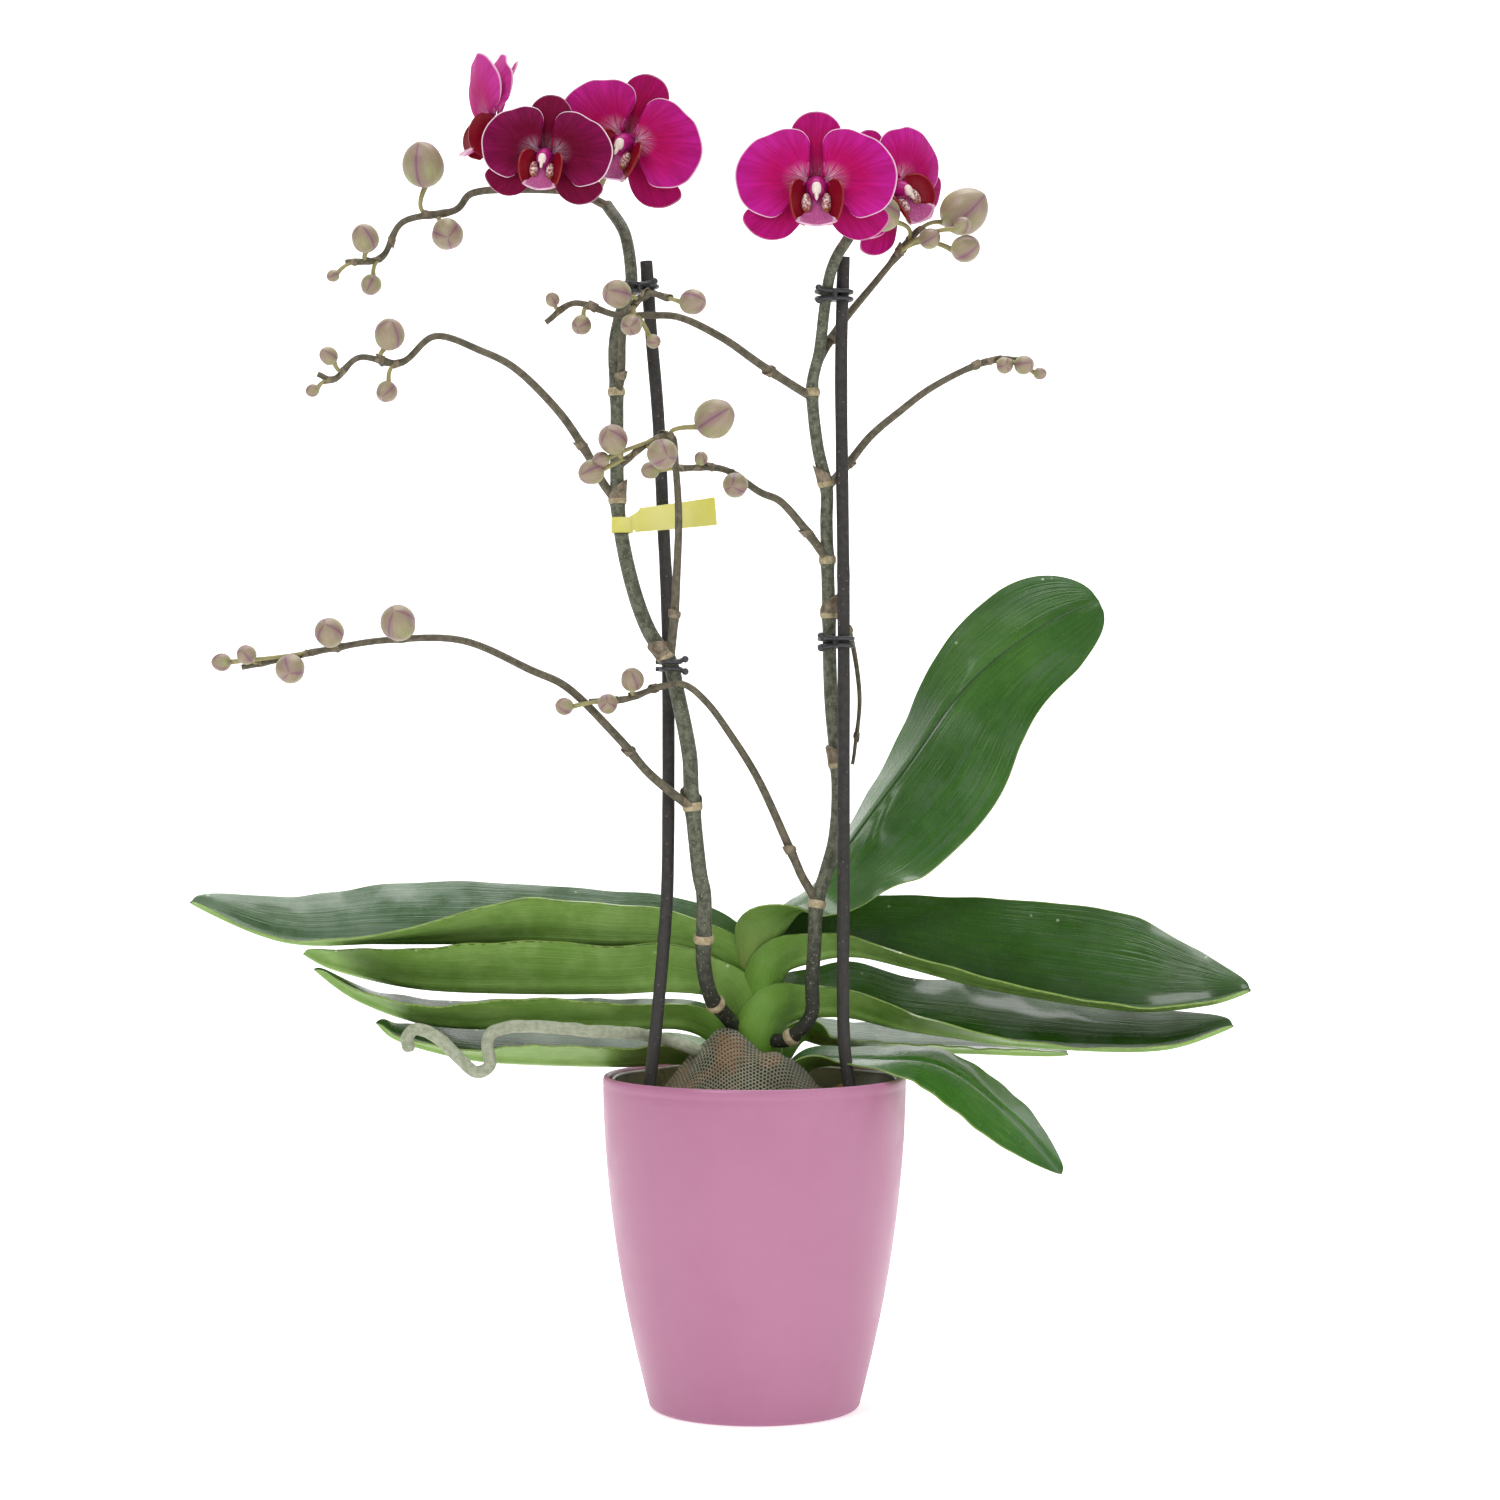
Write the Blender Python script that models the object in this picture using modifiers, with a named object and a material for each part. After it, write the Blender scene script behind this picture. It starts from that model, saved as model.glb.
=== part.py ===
"""Potted moth orchid with two flower spikes, in a plastic cover pot.

Metres, +Z up. The origin is the centre of the pot's underside, and the viewer's side is -Y.
Everything that grows is placed from the plane of the pot's rim, in whole millimetres where it is
a hand-chosen route, so the plant rises and sinks with the pot.
"""

import math
from dataclasses import dataclass

import bmesh
import bpy
import numpy as np
from mathutils import Matrix, Vector

MM = 0.001
GAP = 0.0004  # air between neighbouring pieces

# Cover pot: a flared shell that stands on a flat foot.
POT_HEIGHT = 0.140
POT_RIM_RADIUS = 0.064
POT_FOOT_RADIUS = 0.044
POT_SWELL = 1.9  # how quickly the wall comes up to the rim's radius
POT_WALL = 0.0024
POT_FLOOR = 0.003
POT_FOOT_ROUND = 0.003
POT_STEPS = 32

# Growing pot inside it, and the bark that fills it.
GROW_POT_WALL = 0.0008
GROW_POT_CLEARANCE = 0.0010
GROW_POT_RIM_DROP = 0.002
BED_DROP = 0.011
BED_HOLE_CLEARANCE = 0.0006

# Mound of netted bark that the crown stands in.
PLUG_CENTRE = Vector((-0.003, 0.0, 0.0))
PLUG_CLEARANCE = 0.002
PLUG_LOBES = (  # x and y of the top, height over the bed, spread
    (-0.010, 0.006, 0.028, 0.017),
    (0.010, -0.008, 0.021, 0.021),
)

# Support stakes.
STAKE_RADIUS = 0.0026
STAKE_INSET = 0.011  # from the bed's edge to the stake's axis
STAKE_DEPTH = 0.060  # how far it is pushed into the bark

# Plant.
CROWN_RADIUS = 0.0125
CROWN_SINK = 0.002  # how far its foot starts inside the mound before it is cut clear
STEM_RADIUS = 0.0029
BRANCH_RADIUS = 0.0019
SHOOT_RADIUS = 0.0012
STALK_RADIUS = 0.0010
ROOT_RADIUS = 0.0026
LEAF_THICKNESS = 0.0018
LEAF_BROADEST = 0.55  # where along a leaf it is broadest
LEAF_FLATTENING = 0.18  # how much a half's lift eases off towards its edge
LEAF_TIP_CROWDING = 1.4  # how much closer together the rows are at the tip

# Flowers: lengths are shares of the flower's span.
PETAL_THICKNESS = 0.0008
FLOWER_LAYER = 0.0016  # from the sepals' plane to the petals' plane
FLOWER_CUP = 0.10  # how far the face bends back towards its edge
PETAL_LENGTH = 0.455
PETAL_CLAW = 0.052  # from the centre to the petal's foot
PETAL_FOOT_WIDTH = 0.030
PETAL_HALF_WIDTH = 0.255
PETAL_TIP_WIDTH = 0.06
PETAL_RISE = 0.09
SEPAL_WAIST = 0.10
SEPAL_LENGTH = 0.36
LIP_HALF_WIDTH = 0.15
LIP_DROP = 0.20
LIP_SIDE_HEIGHT = 0.24
LIP_LENGTH = 0.19
LIP_SET = 0.055  # how far in front of the petals the lip starts
COLUMN = (  # distance in front of the petals, drop and radius
    (0.05, 0.002, 0.032),
    (0.12, 0.020, 0.022),
)

# Points along a route: for measuring, on a stem or root, and on a branch.
PATH_POINTS = 60
STEM_POINTS = 26
BRANCH_POINTS = 12
BUD_SPACING = 2  # least steps between two buds' places, of PATH_POINTS along a branch

# Fasteners and label.
CLIP_WALL = 0.0012
CLIP_HEIGHT = 0.0034
CLIP_CLEARANCE = 0.0012
CLIPS = (  # stake side, which of its two clips, height over the rim
    ("left", "low", 0.172),
    ("left", "top", 0.328),
    ("right", "low", 0.182),
    ("right", "top", 0.326),
)
TAG_THICKNESS = 0.0008
TAG_SIZE = (0.037, 0.011)
TAG_HEIGHT = 0.230
TAG_TILT = 5
TAG_OFFSET = (0.0004, -0.002, 0.0015)  # of the plate's end from the loop's inner edge
TAG_LOOP_HEIGHT = 0.0066
TAG_LOOP_CLEARANCE = 0.0009
TAG_LOOP_WALL = 0.0010

# Routes are (x, y, z) in millimetres, with z counted from the rim's plane.
STAKE_ROUTES = {
    "left": [(-41, -22, 21), (-38, -22, 54), (-36, -23, 91), (-36, -24, 183), (-38, -24, 233),
             (-40, -24, 275), (-43, -24, 311), (-45, -24, 340)],
    "right": [(37, -22, 21), (37, -22, 91), (37, -22, 200), (36, -22, 292), (37, -22, 342)],
}
STEM_ROUTES = {
    "left": [(-14, -14, 28), (-18, -19, 34), (-21, -25, 47), (-21, -29, 62), (-21, -30, 77),
             (-23, -30, 88), (-26, -31, 118), (-27, -32, 136), (-32, -32, 161), (-35, -32, 173),
             (-44, -32, 187), (-51, -30, 207), (-56, -29, 232), (-57, -28, 253), (-57, -28, 280),
             (-58, -28, 302), (-56, -29, 315), (-52, -30, 327), (-51, -29, 334), (-54, -21, 352),
             (-62, -8, 366)],
    "right": [(16, -14, 18), (20, -15, 21), (24, -16, 28), (24, -16, 40), (25, -15, 55),
              (26, -14, 73), (30, -13, 86), (34, -12, 102), (35, -12, 125), (32, -13, 159),
              (31, -15, 197), (30, -18, 231), (30, -19, 246), (26, -20, 265), (24, -20, 288),
              (27, -20, 303), (29, -22, 320), (31, -26, 333), (34, -31, 341), (39, -32, 349),
              (44, -24, 360)],
}
RACEME_ROUTE = [(-62, -8, 366), (-76, -5, 372), (-98, -6, 373), (-118, -9, 371),
                (-126, -12, 363), (-147, -14, 358), (-156, -15, 343), (-171, -15, 341)]
ROOT_ROUTE = [(-26, -14, 13), (-45, -15, 18), (-61, -24, 20), (-90, -33, 23), (-105, -36, 22),
              (-110, -38, 17), (-109, -39, 8), (-115, -38, 5), (-123, -36, 12), (-131, -35, 19),
              (-139, -35, 22), (-143, -36, 19), (-142, -37, 13)]
# The crown's axis and its radius as a share; the height of its foot follows the mound.
CROWN_ROUTE = [((5, 0, 0), 0.8), ((3, 0, 27), 1.0), ((1, 0, 37), 0.95), ((-1, 1, 47), 0.6)]


@dataclass(frozen=True)
class Leaf:
    """A leaf: its keel, half widths, and how far each half is lifted at base, middle and tip.

    The keel's x is counted from the crown's left or right side, so leaves move out with it.
    """

    name: str
    keel: list
    near_width: float
    far_width: float
    near_lift: tuple
    far_lift: tuple
    base_width: float = 0.45  # share of the half width that is left at the crown
    bluntness: float = 3.0  # how round its tip is


LEAVES = [
    Leaf("leaf_left_1", [(-4.5, 9, 52), (-15.5, 10, 57), (-35.5, 10, 55), (-86.5, 8, 57),
                         (-147.5, 4, 57), (-185.5, 0, 58), (-224.5, -6, 74)],
         26, 29, (52, 40, 4), (58, 52, 44)),
    Leaf("leaf_left_2", [(-4.5, 5, 40), (-17.5, 6, 37), (-44.5, 7, 36), (-86.5, 7, 36),
                         (-129.5, 7, 38), (-167.5, 10, 45), (-179.5, 14, 51)],
         27, 22, (62, 52, 30), (44, 37, 24)),
    Leaf("leaf_left_3", [(-4.5, 4, 26), (-17.5, 6, 22), (-39.5, 7, 21), (-86.5, 6, 21),
                         (-124.5, 3, 23), (-152.5, -4, 33), (-171.5, -10, 46)],
         24, 20, (38, 32, 16), (34, 26, 12)),
    Leaf("leaf_left_4", [(-12.5, 14, 13), (-23.5, 14, 9), (-43.5, 12, 6), (-86.5, 7, 6),
                         (-110.5, 0, 9), (-135.5, -11, 17), (-144.5, -17, 24)],
         22, 24, (20, 22, 6), (28, 26, 18)),
    Leaf("leaf_top_right", [(-12.5, 5, 57), (-4.5, 7, 66), (7.5, 12, 77), (29.5, 20, 98),
                            (55.5, 29, 133), (75.5, 36, 160), (94.5, 42, 178), (116.5, 48, 193),
                            (138.5, 52, 203)],
         45, 24, (-20, -74, -76), (80, 44, 54), 0.32, 4.5),
    Leaf("leaf_right_1", [(4.5, 6, 48), (12.5, 9, 52), (25.5, 14, 51), (49.5, 17, 46),
                          (90.5, 16, 36), (145.5, 8, 28), (176.5, 0, 31), (195.5, -8, 37)],
         28, 47, (34, 14, 8), (62, 70, 50), 0.45, 3.4),
    Leaf("leaf_right_2", [(4.5, 5, 27), (12.5, 8, 28), (25.5, 12, 25), (49.5, 14, 20),
                          (99.5, 10, 13), (128.5, 6, 10), (155.5, 1, 12), (172.5, -3, 16),
                          (188.5, -7, 22)],
         26, 36, (38, 12, 2), (50, 38, 32)),
    Leaf("leaf_right_3", [(7.5, 24, 16), (17.5, 29, 12), (39.5, 33, 9), (82.5, 33, 8),
                          (122.5, 26, 7)],
         20, 26, (10, 8, 4), (20, 16, 8)),
]
# The lowest right leaf hangs over the rim: past its base, x is counted from the rim's edge.
LOW_KEEL_BASE = [(12.5, 0, 9), (25.5, -2, 8)]
LOW_KEEL_OVERHANG = [(-10, -6, 8), (8, -10, 8), (24, -15, -1), (44, -20, -17), (64, -25, -38)]


@dataclass(frozen=True)
class Branch:
    """A branch of a spike: the stem it leaves, its route, and buds (x, y, z, radius) in mm."""

    name: str
    host: str
    route: list
    buds: list
    radius: float = BRANCH_RADIUS


BRANCHES = [
    Branch("spike_left_branch_low", "left",
           [(-27, -31, 113), (-43, -34, 127), (-56, -36, 142), (-76, -38, 162), (-92, -39, 170),
            (-120, -42, 182), (-151, -44, 182), (-176, -44, 178), (-195, -43, 174),
            (-210, -42, 171)],
           [(-145, -52, 189, 7.6), (-173, -52, 185, 6.3), (-189, -51, 170, 6.3),
            (-207, -50, 176, 4.2), (-220, -45, 173, 3.9)]),
    Branch("spike_left_branch_mid", "left",
           [(-57, -28, 240), (-63, -29, 248), (-70, -30, 261), (-81, -31, 277), (-98, -31, 294),
            (-113, -31, 302), (-132, -31, 308), (-146, -32, 297), (-163, -33, 299),
            (-173, -34, 290), (-182, -34, 293)],
           [(-150, -38, 308, 6.6), (-151, -40, 284, 4.6), (-175, -39, 299, 3.9),
            (-182, -36, 285, 2.8)]),
    Branch("spike_left_branch_front_low", "left",
           [(-34, -32, 175), (-33, -38, 191), (-32, -43, 207), (-31, -48, 231), (-32, -53, 251),
            (-34, -56, 264), (-45, -58, 260), (-54, -60, 252)],
           [(-16, -62, 271, 8.3), (-37, -67, 256, 6.5), (-57, -68, 262, 6.2),
            (-66, -63, 249, 5.3)]),
    Branch("spike_left_branch_front_high", "left",
           [(-57, -28, 282), (-55, -33, 294), (-54, -40, 308), (-50, -46, 318), (-43, -49, 323),
            (-35, -50, 321)],
           [(-56, -56, 322, 6.1), (-50, -58, 309, 4.6), (-25, -54, 319, 5.5),
            (-41, -54, 303, 3.1)]),
    Branch("spike_right_branch_top", "right",
           [(26, -20, 298), (32, -16, 309), (39, -13, 319), (53, -12, 336), (66, -12, 352),
            (70, -12, 356)],
           [(53, -30, 359, 7.5), (88, -12, 363, 10.1), (73, -21, 350, 4.6), (88, -20, 346, 6.0)]),
    Branch("spike_right_branch_mid", "right",
           [(29, -19, 245), (34, -14, 251), (40, -12, 258), (49, -12, 269), (61, -13, 279),
            (73, -14, 288), (88, -15, 296), (100, -16, 300), (111, -17, 300)],
           [(104, -22, 297, 3.7), (112, -24, 297, 4.2), (119, -19, 294, 2.7)]),
    Branch("spike_right_branch_left_high", "right",
           [(24, -20, 284), (15, -24, 289), (2, -28, 297), (-13, -32, 307), (-30, -35, 315),
            (-43, -36, 316), (-57, -37, 316), (-74, -36, 321), (-86, -36, 313)],
           [(-83, -40, 322, 3.1), (-71, -43, 311, 4.3)]),
    Branch("spike_right_branch_left_mid", "right",
           [(30, -18, 217), (21, -21, 229), (11, -25, 240), (2, -28, 244), (-13, -32, 253),
            (-32, -36, 253)],
           [(-8, -37, 246, 5.5), (-22, -38, 257, 3.0), (-43, -38, 252, 3.8)]),
    Branch("spike_right_branch_left_low", "right",
           [(25, -14, 74), (20, -18, 84), (16, -20, 93), (2, -25, 124), (-11, -29, 145),
            (-20, -34, 157), (-29, -38, 164), (-39, -39, 163), (-53, -40, 158), (-68, -41, 157)],
           [(-50, -46, 166, 5.0), (-60, -47, 156, 4.4), (-78, -43, 155, 3.8)]),
    Branch("spike_right_side_shoot", "right",
           [(31, -15, 193), (37, -11, 192), (41, -11, 182), (44, -12, 159), (42, -13, 138),
            (41, -13, 131)], [], SHOOT_RADIUS),
]
RACEME_BUDS = [(-138, -20, 381, 9.2), (-128, -19, 352, 7.0), (-162, -22, 350, 6.0),
               (-176, -17, 335, 2.7), (-160, -18, 331, 4.5)]


@dataclass(frozen=True)
class Flower:
    """An open flower: centre in mm over the rim, span in mm, and how it turns and nods."""

    name: str
    centre: tuple
    span: float
    turn: float  # degrees about Z; positive faces the flower to the right
    nod: float  # degrees; positive tips its face down
    roll: float
    stalk: tuple  # where its stalk comes from, in mm


FLOWERS = [
    Flower("flower_left_front", (-85, -52, 378), 54, -6, 8, 0, (-82, -9, 372)),
    Flower("flower_left_right", (-50, -28, 388), 66, -30, 6, -6, (-66, -4, 372)),
    Flower("flower_left_back", (-107, -2, 405), 56, -76, -8, 0, (-100, -9, 377)),
    Flower("flower_right_front", (25, -50, 366), 66, 0, 6, 0, (40, -25, 362)),
    Flower("flower_right_back", (61, -14, 378), 58, 52, 4, 0, (47, -19, 364)),
]

# Each finish's colour (linear red, green and blue) and roughness.
FINISHES = {
    "pot_plastic": ((0.58, 0.24, 0.40), 0.42),
    "clear_plastic": ((0.32, 0.34, 0.29), 0.35),
    "bark": ((0.17, 0.09, 0.05), 0.90),
    "net": ((0.11, 0.11, 0.07), 0.85),
    "crown": ((0.11, 0.22, 0.04), 0.45),
    "leaf": ((0.05, 0.15, 0.02), 0.32),
    "root": ((0.36, 0.38, 0.30), 0.70),
    "stake": ((0.075, 0.065, 0.06), 0.60),
    "clip": ((0.02, 0.02, 0.022), 0.45),
    "tag": ((0.72, 0.70, 0.11), 0.45),
    "stem": ((0.12, 0.125, 0.08), 0.50),
    "sepal": ((0.32, 0.02, 0.10), 0.50),
    "petal": ((0.42, 0.01, 0.25), 0.50),
    "lip": ((0.45, 0.04, 0.07), 0.45),
}


def clear_scene():
    """Remove every object, so that the model stands alone."""
    for obj in list(bpy.data.objects):
        bpy.data.objects.remove(obj, do_unlink=True)


def new_collection(name, hidden=False):
    """A collection linked to the scene; a hidden one holds cutters."""
    collection = bpy.data.collections.new(name)
    collection.hide_render = hidden
    bpy.context.scene.collection.children.link(collection)
    return collection


def finish_material(name):
    """The Principled material of that name, made once."""
    if name in bpy.data.materials:
        return bpy.data.materials[name]
    colour, roughness = FINISHES[name]
    material = bpy.data.materials.new(name)
    material.use_nodes = True
    shader = material.node_tree.nodes["Principled BSDF"]
    shader.inputs["Base Color"].default_value = (*colour, 1.0)
    shader.inputs["Roughness"].default_value = roughness
    shader.inputs["Metallic"].default_value = 0.0
    return material


# ---- paths


def metres(points):
    """Millimetre points as an array in metres."""
    return np.array(points, float) * MM


def smooth_path(points, count):
    """A smooth curve through points (Catmull-Rom), read at count places evenly along it."""
    points = np.asarray(points, float)
    ends = np.vstack([2 * points[0] - points[1], points, 2 * points[-1] - points[-2]])
    t = np.linspace(0, 1, 12, endpoint=False)[:, None]
    spans = []
    for a, b, c, d in zip(ends[:-3], ends[1:-2], ends[2:-1], ends[3:]):
        spans.append(0.5 * (2 * b + (c - a) * t + (2 * a - 5 * b + 4 * c - d) * t**2
                            + (3 * b - a - 3 * c + d) * t**3))
    curve = np.vstack([*spans, points[-1:]])
    along = np.concatenate([[0], np.cumsum(np.linalg.norm(np.diff(curve, axis=0), axis=1))])
    wanted = np.linspace(0, along[-1], count)
    return np.stack([np.interp(wanted, along, curve[:, i]) for i in range(3)], axis=1)


def at_height(path, z):
    """The point where a rising path passes height z."""
    return np.array([np.interp(z, path[:, 2], path[:, 0]), np.interp(z, path[:, 2], path[:, 1]), z])


def leaving(path, host, distance):
    """The part of a path that is at least distance away from the host path it starts on."""
    apart = np.linalg.norm(path[:, None] - host[None], axis=2).min(axis=1)
    first = int(np.argmax(apart >= distance))
    return path[first:]


# ---- shapes


def link(obj, material, collection, parent=None):
    """Put an object in a collection, give it its material and its parent."""
    collection.objects.link(obj)
    obj.parent = parent
    if material:
        obj.data.materials.append(finish_material(material))
    return obj


def smooth_shaded(obj, angle=40):
    """Shade an object's mesh smooth, with edges sharper than the angle kept."""
    obj.data.shade_smooth()
    obj.data.set_sharp_from_angle(angle=math.radians(angle))
    return obj


def tube_curve(name, path, radii, resolution=2):
    """A round tube along a path, as a poly spline with a bevel; radii is one or one a point."""
    curve = bpy.data.curves.new(name, "CURVE")
    curve.dimensions = "3D"
    curve.bevel_depth = 1.0
    curve.bevel_resolution = resolution
    curve.use_fill_caps = True
    spline = curve.splines.new("POLY")
    spline.points.add(len(path) - 1)
    spline.points.foreach_set("co", np.c_[path, np.ones(len(path))].ravel())
    spline.points.foreach_set("radius", np.broadcast_to(radii, len(path)).astype(float))
    return bpy.data.objects.new(name, curve)


def meshed(obj, collection, parent):
    """The curve object as a closed mesh object, so that a Boolean can use it."""
    collection.objects.link(obj)
    obj.parent = parent
    bpy.context.view_layer.update()
    graph = bpy.context.evaluated_depsgraph_get()
    mesh = bpy.data.meshes.new_from_object(obj.evaluated_get(graph))
    shape = bmesh.new()
    shape.from_mesh(mesh)
    bmesh.ops.remove_doubles(shape, verts=shape.verts, dist=1e-6)
    bmesh.ops.recalc_face_normals(shape, faces=shape.faces)
    shape.to_mesh(mesh)
    shape.free()
    name, world = obj.name, obj.matrix_world.copy()
    bpy.data.objects.remove(obj, do_unlink=True)
    solid = bpy.data.objects.new(name, mesh)
    solid.parent = parent
    solid.matrix_world = world
    return solid


def boolean(obj, operation, other, cutters):
    """Join or cut an object with another, which is kept as a hidden helper."""
    if other.name not in cutters.objects:
        cutters.objects.link(other)
    other.hide_render = True
    other.display_type = "WIRE"
    modifier = obj.modifiers.new(f"{operation.lower()} {other.name}", "BOOLEAN")
    modifier.operation = operation
    modifier.solver = "EXACT"
    modifier.object = other
    return obj


def turned(name, profile, steps, parent=None):
    """A turned solid from (radius, height) points that run down the outside and back inside."""
    mesh = bpy.data.meshes.new(name)
    shape = bmesh.new()
    verts = [shape.verts.new((radius, 0.0, height)) for radius, height in profile]
    for first, second in zip(verts, verts[1:] + verts[:1]):
        if first.co.x > 0 or second.co.x > 0:
            shape.edges.new((first, second))
    shape.to_mesh(mesh)
    shape.free()
    obj = bpy.data.objects.new(name, mesh)
    screw = obj.modifiers.new("turn", "SCREW")
    screw.axis = "Z"
    screw.steps = steps
    screw.render_steps = steps
    screw.use_merge_vertices = True
    screw.merge_threshold = 0.00001
    obj.parent = parent
    return obj


def sheet(name, across, along, surface, thickness, closed=False):
    """A thin solid: a grid bent to surface(u, v), u from -1 to 1 and v from 0 to 1, and its wall.

    A closed sheet's sides u = -1 and u = 1 meet, and its row v = 0 is one point.
    """
    mesh = bpy.data.meshes.new(name)
    shape = bmesh.new()
    bmesh.ops.create_grid(shape, x_segments=across, y_segments=along, size=1.0)
    flat = np.array([vert.co[:2] for vert in shape.verts])
    bent = surface(flat[:, 0], (flat[:, 1] + 1) / 2)
    for vert, place in zip(shape.verts, bent):
        vert.co = place
    if closed:
        bmesh.ops.remove_doubles(shape, verts=shape.verts, dist=1e-6)
    shape.to_mesh(mesh)
    shape.free()
    obj = bpy.data.objects.new(name, mesh)
    wall = obj.modifiers.new("wall", "SOLIDIFY")
    wall.thickness = thickness
    wall.offset = 0.0
    return obj


# ---- pots and bed


def pot_radius(z):
    """The cover pot's outer radius at height z."""
    rise = 1 - (1 - z / POT_HEIGHT) ** POT_SWELL
    return POT_FOOT_RADIUS + (POT_RIM_RADIUS - POT_FOOT_RADIUS) * rise


def wall_profile(outside, low, high, count):
    """(radius, height) points of a wall whose radius is outside(z), from high down to low."""
    return [(outside(z), z) for z in np.linspace(high, low, count)]


BED_TOP = POT_HEIGHT - BED_DROP
GROW_FLOOR = POT_FLOOR + GROW_POT_CLEARANCE
GROW_SET = POT_WALL + GROW_POT_CLEARANCE
BED_SET = GROW_SET + GROW_POT_WALL + GAP
BED_FLOOR = GROW_FLOOR + GROW_POT_WALL + GAP
BED_RADIUS = pot_radius(BED_TOP) - BED_SET
STAKE_ORBIT = BED_RADIUS - STAKE_INSET


def make_cover_pot(collection):
    """The pink pot: flat foot with a rounded edge, flared wall, thin rounded lip."""
    turns = [math.radians(a) for a in (0, 30, 60, 90)]
    edge = pot_radius(POT_FOOT_ROUND)
    foot = [(edge - POT_FOOT_ROUND * (1 - math.cos(a)), POT_FOOT_ROUND * (1 - math.sin(a)))
            for a in turns]
    lip = POT_WALL / 2
    rim = [(POT_RIM_RADIUS - lip + lip * math.cos(a), POT_HEIGHT - lip + lip * math.sin(a))
           for a in (math.radians(b) for b in (180, 135, 90, 45))]
    outer = wall_profile(pot_radius, POT_FOOT_ROUND, POT_HEIGHT - lip, 8)
    inner = wall_profile(lambda z: pot_radius(z) - POT_WALL, POT_FLOOR, POT_HEIGHT - lip, 8)
    profile = rim[1:] + outer[:-1] + foot + [(0, 0), (0, POT_FLOOR)] + inner[::-1]
    pot = link(turned("cover_pot", profile, POT_STEPS), "pot_plastic", collection)
    return smooth_shaded(pot, 50)


def make_grow_pot(collection):
    """The thin inner pot, a clearance inside the cover pot and open at the top."""
    top = POT_HEIGHT - GROW_POT_RIM_DROP
    outer = wall_profile(lambda z: pot_radius(z) - GROW_SET, GROW_FLOOR, top, 6)
    inner = wall_profile(lambda z: pot_radius(z) - GROW_SET - GROW_POT_WALL,
                         GROW_FLOOR + GROW_POT_WALL, top, 6)
    profile = outer + [(0, GROW_FLOOR), (0, GROW_FLOOR + GROW_POT_WALL)] + inner[::-1]
    return smooth_shaded(link(turned("grow_pot", profile, POT_STEPS), "clear_plastic", collection))


def make_bed(collection, cutters, stakes):
    """The bark bed, with a hole for each stake's foot."""
    profile = wall_profile(lambda z: pot_radius(z) - BED_SET, BED_FLOOR, BED_TOP, 6)
    profile = [(0, BED_TOP)] + profile + [(0, BED_FLOOR)]
    bed = smooth_shaded(link(turned("bark_bed", profile, POT_STEPS), "bark", collection))
    for side, foot in stakes.items():
        deep = STAKE_DEPTH + GAP
        mesh = bpy.data.meshes.new(f"stake_hole_{side}")
        shape = bmesh.new()
        bmesh.ops.create_cone(shape, cap_ends=True, segments=12, depth=2 * deep,
                              radius1=STAKE_RADIUS + BED_HOLE_CLEARANCE,
                              radius2=STAKE_RADIUS + BED_HOLE_CLEARANCE)
        shape.to_mesh(mesh)
        shape.free()
        hole = bpy.data.objects.new(f"stake_hole_{side}", mesh)
        hole.location = (foot[0], foot[1], BED_TOP)
        boolean(bed, "DIFFERENCE", hole, cutters)
    return bed


def plug_radius():
    """The mound's radius: up to the stakes, less a clearance."""
    return STAKE_ORBIT - STAKE_RADIUS - PLUG_CLEARANCE - PLUG_CENTRE.length


def plug_height(x, y):
    """The mound's height over the bed: two soft lobes, falling to nothing at its edge."""
    reach = np.clip(np.hypot(x - PLUG_CENTRE.x, y - PLUG_CENTRE.y) / plug_radius(), 0, 1)
    lobes = [high * np.exp(-((x - px) ** 2 + (y - py) ** 2) / (2 * spread**2))
             for px, py, high, spread in PLUG_LOBES]
    return (np.maximum(*lobes) + 0.004) * (1 - reach**4)


def make_net_plug(collection, plant):
    """The netted mound: a squashed sphere's upper half, raised to the lobes' height."""
    mesh = bpy.data.meshes.new("net_plug")
    shape = bmesh.new()
    bmesh.ops.create_uvsphere(shape, u_segments=20, v_segments=16, radius=1.0)
    for vert in shape.verts:
        reach = math.hypot(vert.co.x, vert.co.y)
        spread = plug_radius() * (math.asin(min(reach, 1.0)) / (math.pi / 2))
        unit = spread / reach if reach > 1e-6 else 0.0
        x = PLUG_CENTRE.x + vert.co.x * unit
        y = PLUG_CENTRE.y + vert.co.y * unit
        above = float(plug_height(x, y)) + 0.001 if vert.co.z > 0.01 else 0.0
        vert.co = (x, y, above + GAP - BED_DROP)
    bmesh.ops.dissolve_limit(shape, angle_limit=math.radians(0.5), verts=shape.verts,
                             edges=shape.edges)
    shape.to_mesh(mesh)
    shape.free()
    return smooth_shaded(link(bpy.data.objects.new("net_plug", mesh), "net", collection, plant))


# ---- stakes, crown, root, leaves


def stake_path(side):
    """A stake from its foot in the bark, through the bed's surface, up along its route."""
    route = metres(STAKE_ROUTES[side])
    aim = route[0, :2] / np.linalg.norm(route[0, :2])
    foot = np.array([*(aim * STAKE_ORBIT), -BED_DROP])
    top = smooth_path(np.vstack([foot, route]), 14)
    return np.vstack([foot - [0, 0, STAKE_DEPTH], top])


def crown_path():
    """The crown's axis from just inside the mound to its top, and its radii."""
    points = metres([point for point, _ in CROWN_ROUTE])
    shares = [share for _, share in CROWN_ROUTE]
    mound = float(plug_height(points[0, 0] + CROWN_RADIUS, points[0, 1])) - BED_DROP
    points[0, 2] = mound - CROWN_SINK
    return points, np.array(shares) * CROWN_RADIUS


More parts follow.
